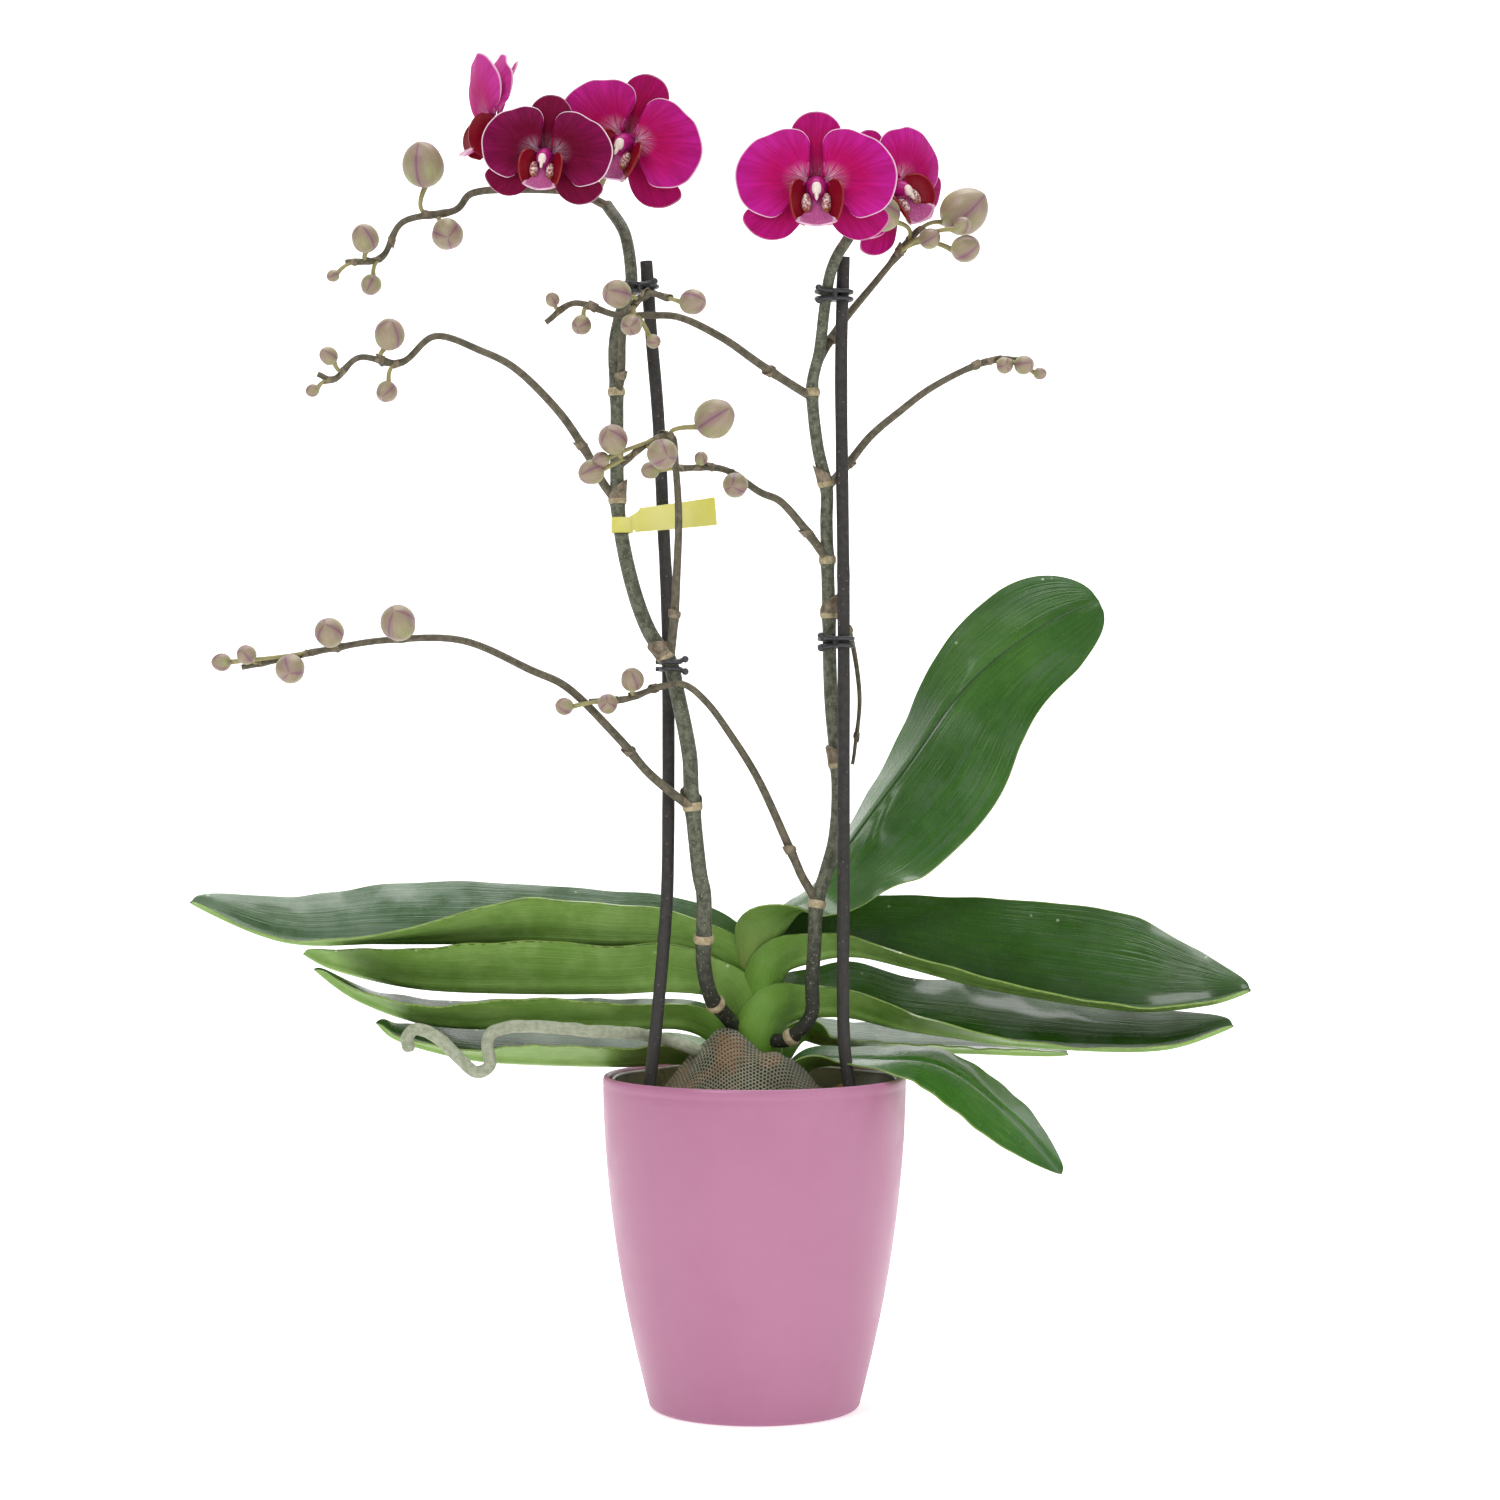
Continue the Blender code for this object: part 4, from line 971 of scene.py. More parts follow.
def chips(places: Array, sizes: Array, seed: int, lie: float) -> list[Patch]:
    """Bark chips: rounded slabs with uneven sides, each turned its own way.

    A chip is a sphere's grid of latitude and longitude, its sines and cosines raised to powers
    of 0.6 to 0.8, with three half sides from its size, pushed in and out by a soft ripple.

    Args:
        places: Centres.
        sizes: Half lengths.
        seed: Chooses shapes and turns.
        lie: How far chips may tip from lying flat, in radians.

    Returns:
        One patch a chip.
    """
    rng = np.random.default_rng(seed)
    lat = np.linspace(-np.pi / 2, np.pi / 2, 6)[:, None]
    lon = round_turn(9)[None]
    across = bulged(np.cos(lat), 0.6)
    slab = join(across * bulged(np.cos(lon), 0.7), across * bulged(np.sin(lon), 0.7),
                bulged(np.sin(lat), 0.8))
    slab[:, -1] = slab[:, 0]
    patches = []
    for centre, size in zip(places, sizes):
        half = size * np.array([1.0, rng.uniform(0.5, 0.9), rng.uniform(0.25, 0.5)])
        shape = slab * half
        dents = ripple(shape + rng.uniform(0, 1, 3), 1.6 * size, seed)[..., None]
        shape = shape * (1 + CHIP_DENTS * dents)
        turn = (Matrix.Rotation(rng.uniform(0, 2 * np.pi), 4, "Z")
                @ Matrix.Rotation(rng.normal(0, lie), 4, "X")
                @ Matrix.Rotation(rng.normal(0, lie), 4, "Y"))
        patches.append(plain(shape).moved(Matrix.Translation(Vector(centre)) @ turn))
    return patches


@dataclass
class Bed:
    """The bark bed: a rough core with loose chips over it."""

    radius: float = 0.0585
    bottom: float = 0.0062
    gap: float = 0.0048  # from the pot's outside
    count: int = 330  # loose chips

    def build(self) -> None:
        """Make the core and its chips."""
        rise = np.linspace(self.bottom, BED_TOP - 0.004, 8)
        side = join(wall(rise) - self.gap, rise)
        top = join(np.linspace(self.radius - 0.001, 0.0, 14), BED_TOP - 0.003)
        core = turned(np.vstack([[(0, self.bottom)], side, top]), 96)
        inside = ease(core.points[..., 2], BED_TOP - 0.006, BED_TOP - 0.003)
        core.points[..., 2] += inside * 0.0015 * ripple(core.points, 0.014, 3)
        rng = np.random.default_rng(11)
        angle = rng.uniform(0, 2 * np.pi, self.count)
        reach = np.sqrt(rng.uniform(0.30**2, 1, self.count)) * (self.radius - 0.0065)
        size = rng.uniform(0.0028, 0.0062, self.count)
        places = polar(reach, angle, BED_TOP - 0.0025 + rng.uniform(-0.0015, 0.0028, self.count))
        patches = [core, *chips(places, size, 21, 0.45)]
        place(build("bark_bed_chips", patches, [BARK], 40), "bark", "bark_bed")


@dataclass
class NetPlug:
    """The netted mound of bark that the crown stands in: chips under a draped net."""

    rings: int = 46
    steps: int = 150
    hole: float = 0.0030
    wall: float = 0.0005
    sink: float = 0.0022  # how far the core's top is under the bare mound
    count: int = 210  # chips under the net

    def surface(self, lift: float, folds: float) -> Array:
        """Return the mound as a polar grid from the hole out to its foot.

        The reach grows as share^0.9. The folds are sin(9a + 2.5 sin(2a) + 3 share) times share,
        with a soft ripple, and they fade at both ends.

        Args:
            lift: Height over the bare mound.
            folds: Height of the folds.

        Returns:
            The grid, rings by steps.
        """
        share = shares(self.rings)[:, None]
        angle = round_turn(self.steps + 1)[None]
        reach = self.hole + (PLUG_RADIUS - self.hole) * share**0.9
        grid = polar(reach, angle, 0.0, PLUG_CENTRE)
        grid[..., 2] = BED_TOP + mound(*np.moveaxis(grid[..., :2], -1, 0)) + lift
        fold = folds * np.sin(9 * angle + 2.5 * np.sin(2 * angle) + 3 * share) * share
        fold = fold + 0.7 * folds * ripple(grid, 0.016, 8)
        grid[..., 2] += fold * np.sin(np.pi * np.clip(share, 0.06, 0.97))
        grid[:, -1] = grid[:, 0]
        return grid

    def build(self) -> None:
        """Make the core and the net over it."""
        under = self.surface(-self.sink, 0.0008)
        bottom = under.copy()
        bottom[..., 2] = BED_TOP - 0.004
        middle = under[:1].copy()
        middle[..., :2] = PLUG_CENTRE
        middle[..., 2] = under[0, :, 2].mean()
        floor = bottom[-1:].copy()
        base = middle.copy()
        base[..., 2] = floor[0, 0, 2]
        core = plain(np.concatenate([middle, under, floor, base]))
        rng = np.random.default_rng(31)
        angle = rng.uniform(0, 2 * np.pi, self.count)
        reach = np.sqrt(rng.uniform(0.02, 0.8, self.count))
        places = polar(reach * PLUG_RADIUS, angle, 0.0, PLUG_CENTRE)
        places[:, 2] = BED_TOP + mound(*places[:, :2].T) - 0.0072
        stuff = chips(places, rng.uniform(0.0025, 0.0048, self.count), 41, 0.6)
        place(build("plug_bark", [core, *stuff], [BARK_PLUG], 40), "bark")
        grid = self.surface(0.0004, 0.0013)
        steps = np.linalg.norm(np.diff(grid, axis=0), axis=-1)
        along = np.vstack([np.zeros((1, steps.shape[1])), np.cumsum(steps, axis=0)])
        flat = polar(along + self.hole, round_turn(self.steps + 1), 0.0)[..., :2]
        patches = thick(grid, self.wall, flat, wrap=True)
        net = build("plug_net", patches, [NET], 60)
        reach = float(along[-1].mean()) + self.hole
        place(net, "net", "net_plug")


# ---------------------------------------------------------------- crown and leaves


@dataclass
class Crown:
    """The short stem hidden in the sheaths, thinner towards its top."""

    route: tuple = ((3, 2, 2), (3, 3, 14), (2, 4, 26), (1, 5, 38), (0, 6, 48))
    radius: float = 0.0075

    def build(self) -> None:
        """Make the core."""
        path = smooth(mm(self.route), 24)
        core = tube(path, self.radius * (1 - 0.55 * shares(24)), 24)
        skin = Rind("crown", "6E8A34", "8CA04A", "A8AE7A", 700.0, 0.2, 30.0, 0.45)
        place(build("crown_core", [core], [skin]), "crown", "crown")


@dataclass(frozen=True)
class LeafShape:
    """A leaf as a table along its keel, from its foot in the crown to its tip.

    Each row holds x, y, z (mm over the rim), the near and far half widths (mm), and the angles
    at which the near half leaves the keel and ends, then the far half's (degrees, up is +).
    """

    name: str
    node: str
    side: int
    rows: tuple
    skin: LeafSkin
    tip_from: float = 0.82
    tip_power: float = 2.2
    wave: float = 0.0005
    groove: float = 0.0011
    groove_half: float = 0.0024
    edge_wall: float = 0.0007
    middle_wall: float = 0.0013  # more than at the edge
    rib_wall: float = 0.0012  # more than beside the midrib
    rib_half: float = 0.0022

    def surface(self, count: int = 150, half: int = 22) -> tuple[Array, Array, Array]:
        """Work out the leaf's middle surface, its wall depths and surface coordinates.

        A half's point is the keel's plus its half width times the integral of
        cos(angle) outwards + sin(angle) upwards, the angle running evenly from a to b. The tip
        narrows as (1 - t^p)^(1/p). A groove runs down the midrib, and the edges wave.

        Args:
            count: Rows along the leaf.
            half: Columns in each half.

        Returns:
            Points, depths and UVs, with columns from the near edge to the far one.
        """
        table = np.array(self.rows, float)
        table[:, :3] = mm(table[:, :3])
        even = smooth(table, TABLE_STEPS).T
        share = 1 - (1 - shares(count)) ** 1.25
        rows = join(*(np.interp(share, shares(TABLE_STEPS), column) for column in even))
        keel = rows[:, :3]
        tangent = unit(np.gradient(keel, axis=0))
        near = unit(np.array([0, -1.0, 0]) + tangent[:, 1:2] * tangent)
        up = np.cross(near, tangent) * self.side
        late = np.clip((share - self.tip_from) / (1 - self.tip_from), 0, 1)
        narrow = np.maximum(1 - late**self.tip_power, 0) ** (1 / self.tip_power)
        s = shares(half + 1)[None, :, None]
        halves = []
        for way, wide, first, last in ((near, 3, 5, 6), (-near, 4, 7, 8)):
            a, b = (np.radians(rows[:, i])[:, None, None] for i in (first, last))
            angle = a + (b - a) * s
            step = np.cos(angle) * way[:, None] + np.sin(angle) * up[:, None]
            area = np.zeros_like(step)
            area[:, 1:] = np.cumsum((step[:, 1:] + step[:, :-1]) / (2 * half), axis=1)
            width = np.maximum(rows[:, wide] * MM * narrow, 0.0002)[:, None, None]
            halves.append(keel[:, None] + width * area)
        grid = np.concatenate([halves[0][:, ::-1], halves[1][:, 1:]], axis=1)
        u = shares(2 * half + 1)
        off = np.abs(2 * u - 1)[None]
        width = (rows[:, 3] + rows[:, 4])[:, None] * MM / 2 * narrow[:, None]
        normal = self.normal(grid)
        groove = -self.groove * bell(off * width, self.groove_half)
        spread = ease(share, 0.10, 0.3)[:, None] * (1 - late[:, None])
        edge = self.wave * off**2 * ripple(keel, 0.055, len(self.name))[:, None]
        far = self.wave * off**3 * np.sin(9.5 * share[:, None] * 2 * np.pi + 5 * (u[None] > 0.5))
        swell = 0.0007 * ripple(grid, 0.05, 40) * off
        grid = grid + normal * (groove + spread * (edge + 0.5 * far + swell))[..., None]
        depth = self.edge_wall + self.middle_wall * (1 - off**1.6)
        depth = depth + self.rib_wall * bell(off * width, self.rib_half)
        depth = depth * np.maximum(narrow, 0.25)[:, None]
        return grid, depth, join(u, share[:, None])

    def normal(self, grid: Array) -> Array:
        """The unit normals of a grid, on the leaf's upper side."""
        normal = np.cross(np.gradient(grid, axis=1), np.gradient(grid, axis=0)) * -self.side
        return normal / np.maximum(np.linalg.norm(normal, axis=-1), 1e-12)[..., None]

    def build(self) -> None:
        """Make the leaf."""
        grid, depth, uv = self.surface()
        if self.side > 0:
            grid, depth, uv = grid[:, ::-1], depth[:, ::-1], uv[:, ::-1]
        place(build(self.name, thick(grid, depth, uv), [self.skin], 70), "leaf", self.node)


SKIN_DARK = LeafSkin("leaf_dark", painted_reflection=0.08, foot=(0.06, 0.22))
# Painted reflection: the upper left leaf's skin is a paler, greyer copy of the dark leaf skin,
# with strong blue-grey patches on its upper face.
SKIN_LEFT_PAINTED_REFLECTION = LeafSkin("leaf_left", "40603A", "738C6C", painted_reflection=0.45, foot=(0.06, 0.22))
SKIN_SHORT = LeafSkin("leaf_short", painted_reflection=0.20, foot=(0.06, 0.26))
SKIN_TALL = LeafSkin("leaf_tall", "2E5A16", "467426", "648A3C", "7E9E55", painted_reflection=0.12,
                     foot=(0.05, 0.22), sheath="6E8038")
SKIN_LOW = LeafSkin("leaf_low", "2C6210", "447E20", "6E9440", "8CAB5C", painted_reflection=0.05,
                    foot=(0.0, 0.10))

LEAVES = (
    # Inner to outer, each side in turn. x, y, z, near width, far width, near a, b, far a, b
    LeafShape("leaf_tall_right", "leaf_top_right", 1, (
        (3.5, 5, 20, 12, 12, 0, 150, 0, 140), (3.5, 5, 34, 12.5, 12, 0, 150, 0, 140),
        (4.5, 5, 46, 15, 13, 5, 135, 10, 120), (8.5, 5, 57, 19, 14, 45, 105, 30, 90),
        (16, 8, 68, 15, 13, 5, 0, 20, 25), (23, 10, 73, 15, 12, -36, -44, 20, 22),
        (31, 14, 81, 22, 12, -56, -58, 16, 16), (42, 20, 99, 36, 15, -66, -66, 10, 12),
        (68, 29, 133, 41, 20, -78, -76, 22, 26), (88, 36, 160, 35, 24, -78, -76, 38, 42),
        (107, 42, 178, 29, 26, -76, -74, 54, 58), (129, 48, 193, 25, 26, -74, -74, 60, 62),
        (151, 52, 203, 20, 20, -74, -74, 60, 62)), SKIN_TALL, 0.86, 2.6,
              0.0004),
    LeafShape("leaf_upper_left", "leaf_left_1", -1, (
        (-3, 4, 18, 16, 16, 0, 150, 0, 150), (-4.5, 4, 32, 17, 16, 0, 145, 0, 145),
        (-7, 5, 41, 16, 16, 15, 120, 15, 120), (-13, 7, 48, 13, 17, 45, 95, 40, 90),
        (-23, 9, 52.5, 12.5, 19, 62, 75, 66, 72), (-41, 10, 55, 17, 22, 66, 62, 72, 58),
        (-60, 10, 55.5, 20, 24, 60, 52, 70, 54), (-99, 8, 57, 24, 27, 56, 38, 66, 46),
        (-130, 6, 57, 25, 29, 30, 18, 64, 44), (-160, 4, 57, 25, 29, 9, 4, 60, 40),
        (-198, 0, 58, 18, 22, 3, 0, 54, 38),
        (-237, -6, 74, 7, 8, 2, 0, 48, 40)), SKIN_LEFT_PAINTED_REFLECTION, 0.90, 2.2),
    LeafShape("leaf_upper_right", "leaf_right_1", 1, (
        (6, 3, 14, 20, 18, 0, 150, 0, 150), (9, 2.5, 28, 20, 18, 0, 150, 0, 150),
        (9.6, 2.5, 36, 20, 18, 0, 145, 0, 145), (10.5, 3, 42, 18, 18, 10, 125, 10, 125),
        (14, 5, 46, 14.5, 19, 30, 105, 30, 105), (22, 9, 48.3, 12.5, 23, 50, 68, 55, 80),
        (34, 13, 50.5, 12, 24, 44, 44, 66, 62), (47, 16, 50, 13, 27, 28, 24, 70, 58),
        (64, 17, 46, 18, 32, 16, 12, 74, 58), (103, 16, 36, 27, 41, 12, 6, 74, 58),
        (158, 8, 28, 24, 45, 8, 2, 64, 50), (189, 0, 31, 16, 26, 6, 2, 56, 44),
        (208, -8, 37, 8, 10, 2, 0, 50, 44)), SKIN_DARK, 0.88, 2.4),
    LeafShape("leaf_middle_left", "leaf_left_2", -1, (
        (-7, 2, 2, 25, 24, 0, 150, 0, 150), (-9.5, 2, 16, 25, 24, 0, 150, 0, 150),
        (-11, 2.5, 24, 23, 22, 5, 135, 5, 140), (-13, 2.5, 30, 19, 20, 25, 115, 20, 110),
        (-18, 5, 34.5, 15, 18, 50, 90, 35, 70), (-25, 6.5, 36.2, 17, 17, 66, 80, 44, 54),
        (-41, 7, 36.8, 20, 17, 72, 68, 48, 42), (-60, 7, 36, 20, 17, 72, 60, 48, 38),
        (-99, 7, 36, 25, 20, 64, 48, 44, 34), (-142, 7, 38, 24, 20, 50, 34, 38, 28),
        (-176, 10, 45, 15, 13, 40, 26, 30, 24),
        (-192, 14, 51, 8, 7, 34, 24, 26, 22)), SKIN_DARK, 0.86, 2.2),
    LeafShape("leaf_middle_right", "leaf_right_2", 1, (
        (5, -1, -6, 15, 14, 0, 150, 0, 150), (8, -1, 5, 20, 18, 0, 150, 0, 150),
        (9.2, -1, 12, 24, 22, 0, 150, 0, 150), (10.6, -1, 18.5, 25, 23, 5, 140, 5, 140),
        (12.5, -0.5, 23, 20, 22, 20, 120, 20, 120), (18, 3, 25.2, 14, 20, 45, 95, 40, 90),
        (28, 7, 26, 12.5, 21, 58, 68, 50, 64), (42, 11, 25, 13.5, 26, 46, 44, 54, 48),
        (62, 14, 20, 17, 27, 26, 18, 52, 38), (85, 13, 16.5, 22, 31, 14, 8, 48, 34),
        (112, 10, 13, 25, 33, 8, 4, 44, 30), (168, 1, 12, 17, 24, 4, 0, 38, 28),
        (201, -7, 22, 7, 10, 2, 0, 34, 28)), SKIN_SHORT, 0.86, 2.4),
    LeafShape("leaf_lower_left", "leaf_left_3", -1, (
        (-10, 3, 0, 18, 18, 0, 120, 0, 120), (-14, 3, 10, 16, 16, 10, 110, 10, 110),
        (-20, 4, 17, 12, 14, 35, 80, 30, 76), (-32, 6, 21, 12, 15, 46, 50, 36, 40),
        (-52, 7, 21, 14, 16, 42, 36, 36, 32), (-99, 6, 21, 22, 19, 36, 28, 32, 26),
        (-137, 3, 23, 20, 17, 28, 18, 26, 18), (-165, -4, 33, 13, 11, 20, 14, 18, 12),
        (-184, -10, 46, 7, 6, 16, 12, 12, 10)), SKIN_SHORT, 0.84, 2.2),
    LeafShape("leaf_lowest_left", "leaf_left_4", -1, (
        (-12, 11, -4, 14, 14, 0, 90, 0, 90), (-19, 13, 3, 14, 15, 10, 60, 10, 60),
        (-36, 14, 5.5, 17, 19, 20, 30, 26, 34), (-56, 12, 4.5, 20, 22, 22, 22, 28, 26),
        (-99, 7, 6, 22, 24, 22, 18, 28, 24), (-123, 0, 9, 19, 21, 16, 10, 26, 20),
        (-148, -11, 17, 11, 12, 8, 4, 20, 16),
        (-157, -17, 24, 6, 7, 6, 4, 18, 16)), SKIN_SHORT, 0.82, 2.2),
    LeafShape("leaf_lower_right", "leaf_right_3", 1, (
        (12, 18, 4, 12, 14, 10, 90, 10, 90), (20, 24, 14, 14, 17, 10, 40, 20, 50),
        (30, 29, 12, 16, 20, 10, 12, 20, 24), (52, 33, 9, 19, 24, 10, 8, 20, 18),
        (95, 33, 8, 19, 25, 8, 4, 16, 12),
        (135, 26, 7, 9, 12, 4, 2, 8, 6)), SKIN_SHORT, 0.80, 2.2),
    LeafShape("leaf_lowest_right", "leaf_right_4", 1, (
        (15, -5, -4, 12, 10, 20, 60, 20, 60), (24, -3, 5, 13, 11, 10, 30, 20, 40),
        (38, -4, 6.5, 18, 14, 4, 2, 16, 18), (54, -8, 6.5, 24, 18, 0, -4, 14, 12),
        (72, -11, 6, 28, 21, -10, -16, 14, 12), (88, -15, -1, 28, 22, -20, -26, 18, 18),
        (108, -20, -17, 22, 18, -30, -36, 24, 24),
        (128, -25, -38, 10, 9, -38, -40, 30, 30)), SKIN_LOW, 0.72, 2.2),
)


# ---------------------------------------------------------------- root, stakes, clips, label


@dataclass
class AerialRoot:
    """The silvery root that winds over the rim to the left, with a round tip."""

    route: tuple = ((-10, -3, 4), (-26, -13, 12), (-45, -15, 18), (-61, -24, 20), (-90, -33, 23),
                    (-105, -36, 22), (-110, -38, 17), (-109, -39, 8), (-115, -38, 5),
                    (-123, -36, 12), (-131, -35, 19), (-139, -35, 22), (-143, -36, 19),
                    (-142, -37, 13))
    radius: float = 0.0026
    length: float = 0.18
    tip_from: float = 0.178  # the length at which the tip starts to round
    tip: float = 0.0025

    def build(self) -> None:
        """Make the root."""
        path = smooth(mm(self.route), 200)
        path = path + 0.0004 * join(*(ripple(path, 0.012, i) for i in range(3)))
        radii = self.radius * (1 + 0.06 * ripple(path, 0.009, 5))
        end = ((shares(200) * self.length - self.tip_from) / self.tip).clip(0, 1)
        radii = radii * np.sqrt(np.clip(1 - end**2, 0.05, 1))
        skin = Rind("root", "A9AD98", "8C927A", "C8CAB8", 900.0, 0.3, 26.0, 0.7)
        place(build("root_aerial", [tube(path, radii, 18)], [skin]), "root", "aerial_root")


STAKE_ROUTES = {
    Side.LEFT: ((-45, -24, -70), (-44, -22.5, -11), (-41, -22, 21), (-38, -22, 54), (-36, -23, 91),
             (-36, -24, 183), (-38, -24, 233), (-40, -24, 275), (-43, -24, 311), (-45, -24, 340)),
    Side.RIGHT: ((41, -24, -70), (40, -23, -11), (37, -22, 21), (37, -22, 91), (37, -22, 200),
              (36, -22, 292), (37, -22, 342)),
}


@dataclass
class Stake:
    """A dark dyed bamboo stick with a flat top and faint nodes."""

    side: Side
    radius: float = 0.0026
    nodes: tuple = (0.06, 0.21, 0.33)  # heights over the rim

    def build(self) -> None:
        """Make the stake."""
        path = smooth(mm(STAKE_ROUTES[self.side]), 160)
        shape = 1 + 0.03 * ripple(path, 0.03, 2)
        for height in self.nodes:
            shape = shape + 0.05 * bell(path[:, 2] - RIM - height, 0.003)
        skin = Rind("stake", "2C2A28", "3A3735", "8B8379", 600.0, 0.18, 16.0, 0.62,
                    "3A3835", (RIM - 0.01, RIM + 0.10))
        node = f"stake_{self.side.value}"
        place(build(node + "_stick", [tube(path, self.radius * shape, 18)], [skin], 40),
              "stake", node)


def route_at(route: Array, height: float) -> Array:
    """The first point of a route at a height over the rim."""
    return np.array([np.interp(height + RIM, route[:, 2], column) for column in route.T])


@dataclass
class Clip:
    """A plant clip: two thin rings side by side, with a squeeze lever that has ball ends."""

    node: str
    side: Side
    height: float
    apart: float = 0.0015  # half the distance between the two rings
    wire: float = 0.00095
    radii: tuple = (0.0042, 0.0038)  # of the ring round the stem and of the one round the stake
    forward: float = 0.0046  # from the rings' middle to the lever
    lever: tuple = ((-0.0055, 0.0012, 1.0), (0, 0, 1.0), (0.004, -0.0006, 1.2),
                    (0.0066, -0.0006, 1.7))  # x and y, and z as a share of apart
    arm: float = 0.0010
    ball: float = 0.0015
    post: float = 0.0013
    post_half: float = 0.0022

    def ring(self, centre: Array, radius: float) -> Patch:
        """A flat ring of round wire: radius and wire times (cos, sin), one within the other."""
        angle = round_turn(9)[None, :, None]
        out = polar(1.0, round_turn(49), 0.0)[:, None]
        round_ = np.cos(angle) * out + np.sin(angle) * [0, 0, 1.0]
        return plain(centre + radius * out + self.wire * round_)

    def build(self, stem: Array) -> None:
        """Make the clip round a stem and its stake."""
        stake = smooth(mm(STAKE_ROUTES[self.side]), 200)
        spots = [route_at(stem, self.height), route_at(stake, self.height)]
        patches = []
        for level in (-self.apart, self.apart):
            patches += [self.ring(spot + [0, 0, level], radius)
                        for spot, radius in zip(spots, self.radii)]
        middle = (spots[0] + spots[1]) / 2 + [0.0, -self.forward, 0.0]
        way = 1 if self.side is Side.LEFT else -1
        for level in (-self.apart, self.apart):
            route = middle + np.array(self.lever) * (way, 1, level)
            patches += [tube(smooth(route, 14), self.arm, 10), egg(route[-1], self.ball)]
        post = middle + np.array([[0, 0, -self.post_half], [0, 0, self.post_half]])
        patches.append(tube(smooth(post, 6), self.post, 10))
        skin = Plastic("clip", "2C2B2D", "3E3D40", 0.35, 0.05)
        place(build(self.node + "_rings", patches, [skin]), "clip", self.node)


@dataclass
class Label:
    """The plain yellow label: a curved plate joined to a strap loop round the left stem."""

    corners: tuple = ((-47.5, 237.0), (-16.5, 241.5), (-15.5, 230.0), (-49.5, 227.0))
    neck: tuple = ((-52.4, 233.0), (-47.2, 236.3), (-49.0, 228.0), (-52.8, 227.2))
    wall: float = 0.0007
    height: float = 0.230  # of the loop over the rim
    loop: tuple = (0.0042, 0.0010)  # the loop's mean radius and how far it is off round
    loop_half: float = 0.0032  # half the strap's width

    def build(self, stem: Array) -> None:
        """Make the label."""
        hub = route_at(stem, self.height)
        uv = grid_uv(10, 24)
        u, v = uv[..., :1], uv[..., 1:]
        patches = []
        for corners, start, bow in ((self.corners, -32.0, 1.6), (self.neck, -30.8, 0.0)):
            a, b, c, d = (np.array(corner) for corner in corners)
            flat = (a * (1 - u) + b * u) * (1 - v) + (d * (1 - u) + c * u) * v
            y = start * (1 - u) - 32.0 * u + bow * np.sin(np.pi * u) + 0.5 * np.sin(2 * v)
            grid = mm(np.concatenate([flat[..., :1], y, flat[..., 1:]], -1))
            patches += thick(grid, self.wall, uv)
        turn = round_turn(41)
        rise = np.linspace(-self.loop_half, self.loop_half, 5)[:, None]
        wide = self.loop[0] + self.loop[1] * np.cos(turn + 0.3)[None]
        strap = polar(wide, turn, hub[2] + rise, hub[:2])
        patches += thick(strap, self.wall, grid_uv(5, 41), wrap=True)
        skin = Plastic("tag", "CFC94E", "DAD58A", 0.45, 0.08)
        place(build("label_plain", patches, [skin]), "tag", "plant_tag")


# ---------------------------------------------------------------- spikes


STEM_SKIN = Rind("stem", "36392D", "6A6C5A", "A6A790", 700.0, 0.8, 26.0, 0.5, "1C1E17",
                 (RIM + 0.022, RIM + 0.085))
BRANCH_SKIN = Rind("branch", "434033", "69614F", "908C74", 900.0, 0.4, 20.0, 0.55)
STALK_SKIN = Rind("stalk", "8E8C56", "9E9468", "BDB78E", 1500.0, 0.3, 14.0, 0.5)
SCALE = Papery("bract", "8A7C66", "5A5040")
SCAR = Papery("scar", "B9AA8A", "8A7C5C")
BUD = BudSkin()
STEM_ROUTES = {
    Side.LEFT: ((-7, -4, 19), (-13, -12, 27), (-18, -19, 34), (-21, -25, 47), (-21, -29, 62),
             (-21, -30, 77), (-23, -30, 88), (-26, -31, 118), (-27, -32, 136), (-32, -32, 161),
             (-35, -32, 173), (-44, -32, 187), (-51, -30, 207), (-56, -29, 232), (-57, -28, 253),
             (-57, -28, 280), (-58, -28, 302), (-56, -29, 315), (-52, -30, 327), (-51, -29, 334),
             (-54, -21, 352), (-62, -8, 366)),
    Side.RIGHT: ((6, -5, 15), (13, -11, 15.5), (20, -15, 21), (24, -16, 28), (24, -16, 40),
              (25, -15, 55), (26, -14, 73), (30, -13, 86), (34, -12, 102), (35, -12, 125),
              (32, -13, 159), (31, -15, 197), (30, -18, 231), (30, -19, 246), (26, -20, 265),
              (24, -20, 288), (27, -20, 303), (29, -22, 320), (31, -26, 333), (34, -31, 341),
              (39, -32, 349), (44, -24, 360)),
}
STEM_NODES = {  # height over the rim and what marks it
    Side.LEFT: ((31, Mark.RING), (59, Mark.RING), (114, Mark.SCALE), (176, Mark.SCALE),
                (241, Mark.SCALE), (285, Mark.RING)),
    Side.RIGHT: ((17, Mark.RING), (73, Mark.RING), (131, Mark.SCALE), (194, Mark.SCALE),
                 (217, Mark.RING), (248, Mark.SCALE), (286, Mark.RING)),
}


